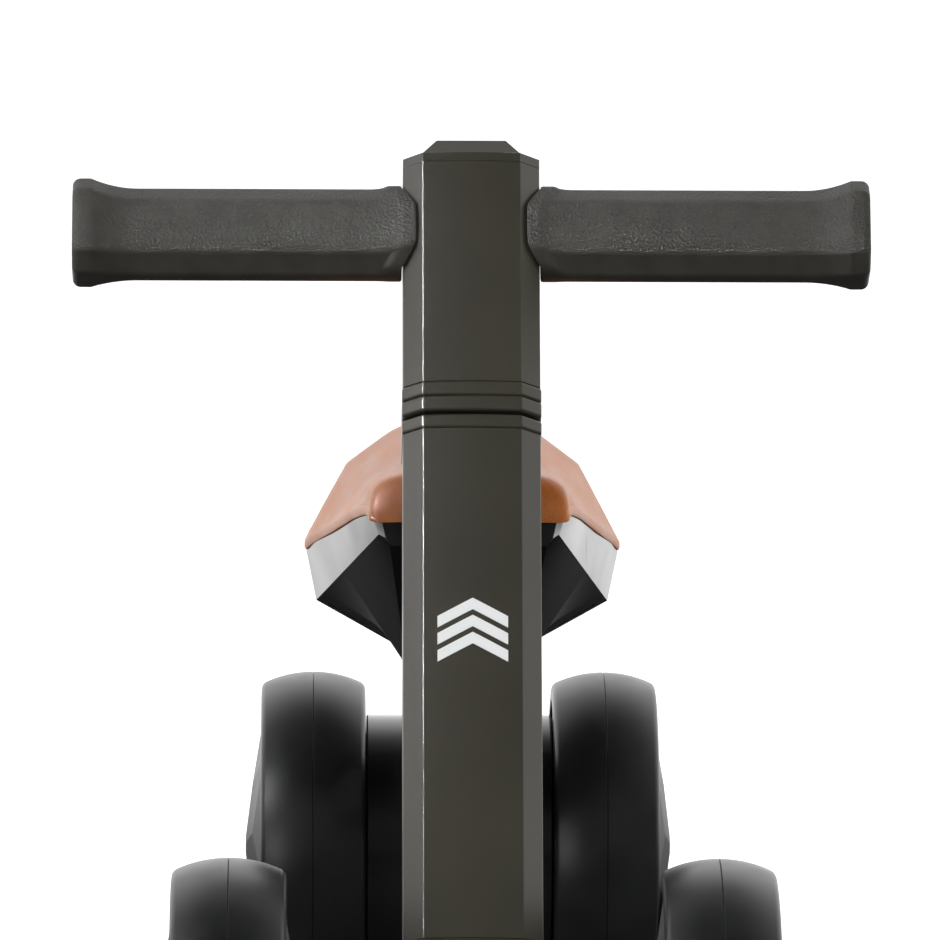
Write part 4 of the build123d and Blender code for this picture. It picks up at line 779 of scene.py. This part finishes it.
def pad_half(edge_x, edge_z, crown, kink_x, slope, boxy, hang):
    """Half of the pad's top across one station, from the centre out to its lip."""
    edge_x += PAD_OUTSET
    lip_z = edge_z + PAD_RIM - hang
    flat = kink_x * PAD_CROWN_FLAT
    bend = kink_x * PAD_CROWN_BEND

    def bevel(x):
        return x, crown - slope * (x - flat - bend / 2)

    points = [(flat * t, crown) for t in (0, 0.5)]
    for k in range(CROWN_STEPS + 1):
        run = bend * k / CROWN_STEPS
        points.append((flat + run, crown - slope * run * run / (2 * bend)))
    bend_end = flat + bend
    points += [bevel(bend_end + (kink_x - bend_end) * t) for t in BEVEL_SHARES]
    kink_z = bevel(kink_x)[1]
    points.append((kink_x + 0.3, kink_z - 0.4))
    side, drop = edge_x - LIP_INSET - kink_x, lip_z - kink_z
    points += [(kink_x + side * t, kink_z + drop * t) for t in SIDE_SHARES]
    points = [boxed(x, z, edge_x, lip_z, crown, boxy) for x, z in points]
    points += [(edge_x - 0.6, lip_z), (edge_x - 0.1, lip_z - 0.7), (edge_x, lip_z - 1.8)]
    foot_z = edge_z + PAD_GAP - hang
    points += [(edge_x, foot_z + 1.2), (edge_x - 0.3, foot_z + 0.4), (edge_x - 1.2, foot_z)]
    return points


def pad_outline(station):
    """The pad's closed outline across one station, as (x, z) in millimetres."""
    edge_x, edge_z, crown = station[:3]
    base = edge_z + PAD_GAP
    hollow = max(crown - PAD_DEPTH - base, LEAST_HOLLOW)
    under = [(edge_x - 3.0, base + 1.2), (edge_x * 0.6, base + hollow * 0.7), (0.0, base + hollow)]
    right = pad_half(*station) + under
    left = [(-x, z) for x, z in reversed(right[1:-1])]
    return [Vector(point) for point in right + left]


def pad_ring(y, station, foot_z=0.0, width=1.0, height=1.0):
    """A station's ring at `y`, scaled in width, and in height above `foot_z`."""
    outline = pad_outline(station)
    return [Vector((p.x * width, y, foot_z + (p.y - foot_z) * height)) * MM for p in outline]


def pad_end(y, station, outward):
    """Rings that roll the pad's top down to its foot in a quarter ellipse at one end."""
    foot_z = station[1] + PAD_GAP - station[-1]
    rings = []
    for k in range(1, PAD_END_STEPS + 1):
        turn = PAD_END_TURN * k / PAD_END_STEPS
        height = cos(turn)
        width = 1 - PAD_END_DRAW * (1 - height) ** 2
        place = y + outward * PAD_END_REACH * sin(turn)
        rings.append(pad_ring(place, station, foot_z, width, height))
    return rings


def make_seat_pad():
    nose_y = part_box("seat_base")[0][1] / MM
    front_y = nose_y - PAD_OVERHANG + PAD_END_REACH
    length = PAD_LENGTH + 2 * (PAD_OVERHANG - PAD_END_REACH)
    body = []
    for k in range(PAD_RINGS + 1):
        y = front_y + length * k / PAD_RINGS
        station = soft_station(y - nose_y)
        body.append(pad_ring(y, station))
    nose = pad_end(front_y, soft_station(front_y - nose_y), -1)
    tail = pad_end(y, station, 1)
    shape = bmesh.new()
    skin(shape, nose[::-1] + body + tail)
    pad = piece_from("seat_pad_cover", shape, "seat_pad", ("seat_leather",), 40.0)


# ---------------------------------------------------------------- softened CAD shapes
# Faces that look further down than this belong to the underside, which gets a less reflective copy of its plastic
# as painted shade
SHADED_UNDERSIDE = -0.35
WELD = 0.002 * MM
FLAT_ANGLE = radians(0.6)


def soften(name, width, least, segments=3, under=None):
    """The CAD node's own shape as a piece whose edges sharper than `least` degrees are rounded
    by `width` millimetres; `under` is the material of its underside, a less reflective copy that paints shade
    there."""
    shape = bmesh.new()
    shape.from_mesh(frame["nodes"][name].data)
    bmesh.ops.remove_doubles(shape, verts=shape.verts, dist=WELD)
    bmesh.ops.dissolve_limit(
        shape, angle_limit=FLAT_ANGLE, verts=shape.verts, edges=shape.edges
    )
    closed = [edge for edge in shape.edges if edge.is_manifold]
    sharp = [edge for edge in closed if edge.calc_face_angle() > radians(least)]
    bmesh.ops.bevel(
        shape,
        geom=sharp,
        offset=width * MM,
        segments=segments,
        profile=0.5,
        affect="EDGES",
        clamp_overlap=True,
    )
    slots = (SLOT_OF[name],)
    if under:
        slots += (under,)
        # The downward faces take the darker copy of the plastic: painted shade
        for face in shape.faces:
            face.material_index = 1 if face.normal.z < SHADED_UNDERSIDE else 0
    piece_from(f"{name}_soft", shape, name, slots, 30.0)


make_camera()
make_world()
make_lights()
make_floor()
bpy.context.scene.view_settings.view_transform = "Standard"
dress_nodes()
make_grips()
for end in ("front", "rear"):
    for side in ("left", "right"):
        make_tyre(f"{end}_{side}_tyre")
make_seat_pad()
# The seat's downward faces get the less reflective copy of its plastic as painted shade
soften("seat_base", 1.4, 14.0, under="black_moulding_matt")
soften("stem_cap", 0.9, 20.0)
soften("stem_ring", 0.9, 20.0)
soften("bearing_cover", 0.9, 20.0)
soften("main_beam", 1.0, 14.0)
for end in ("front", "rear"):
    for side in ("left", "right"):
        soften(f"{end}_{side}_outer_disc", 0.7, 3.0, 2)
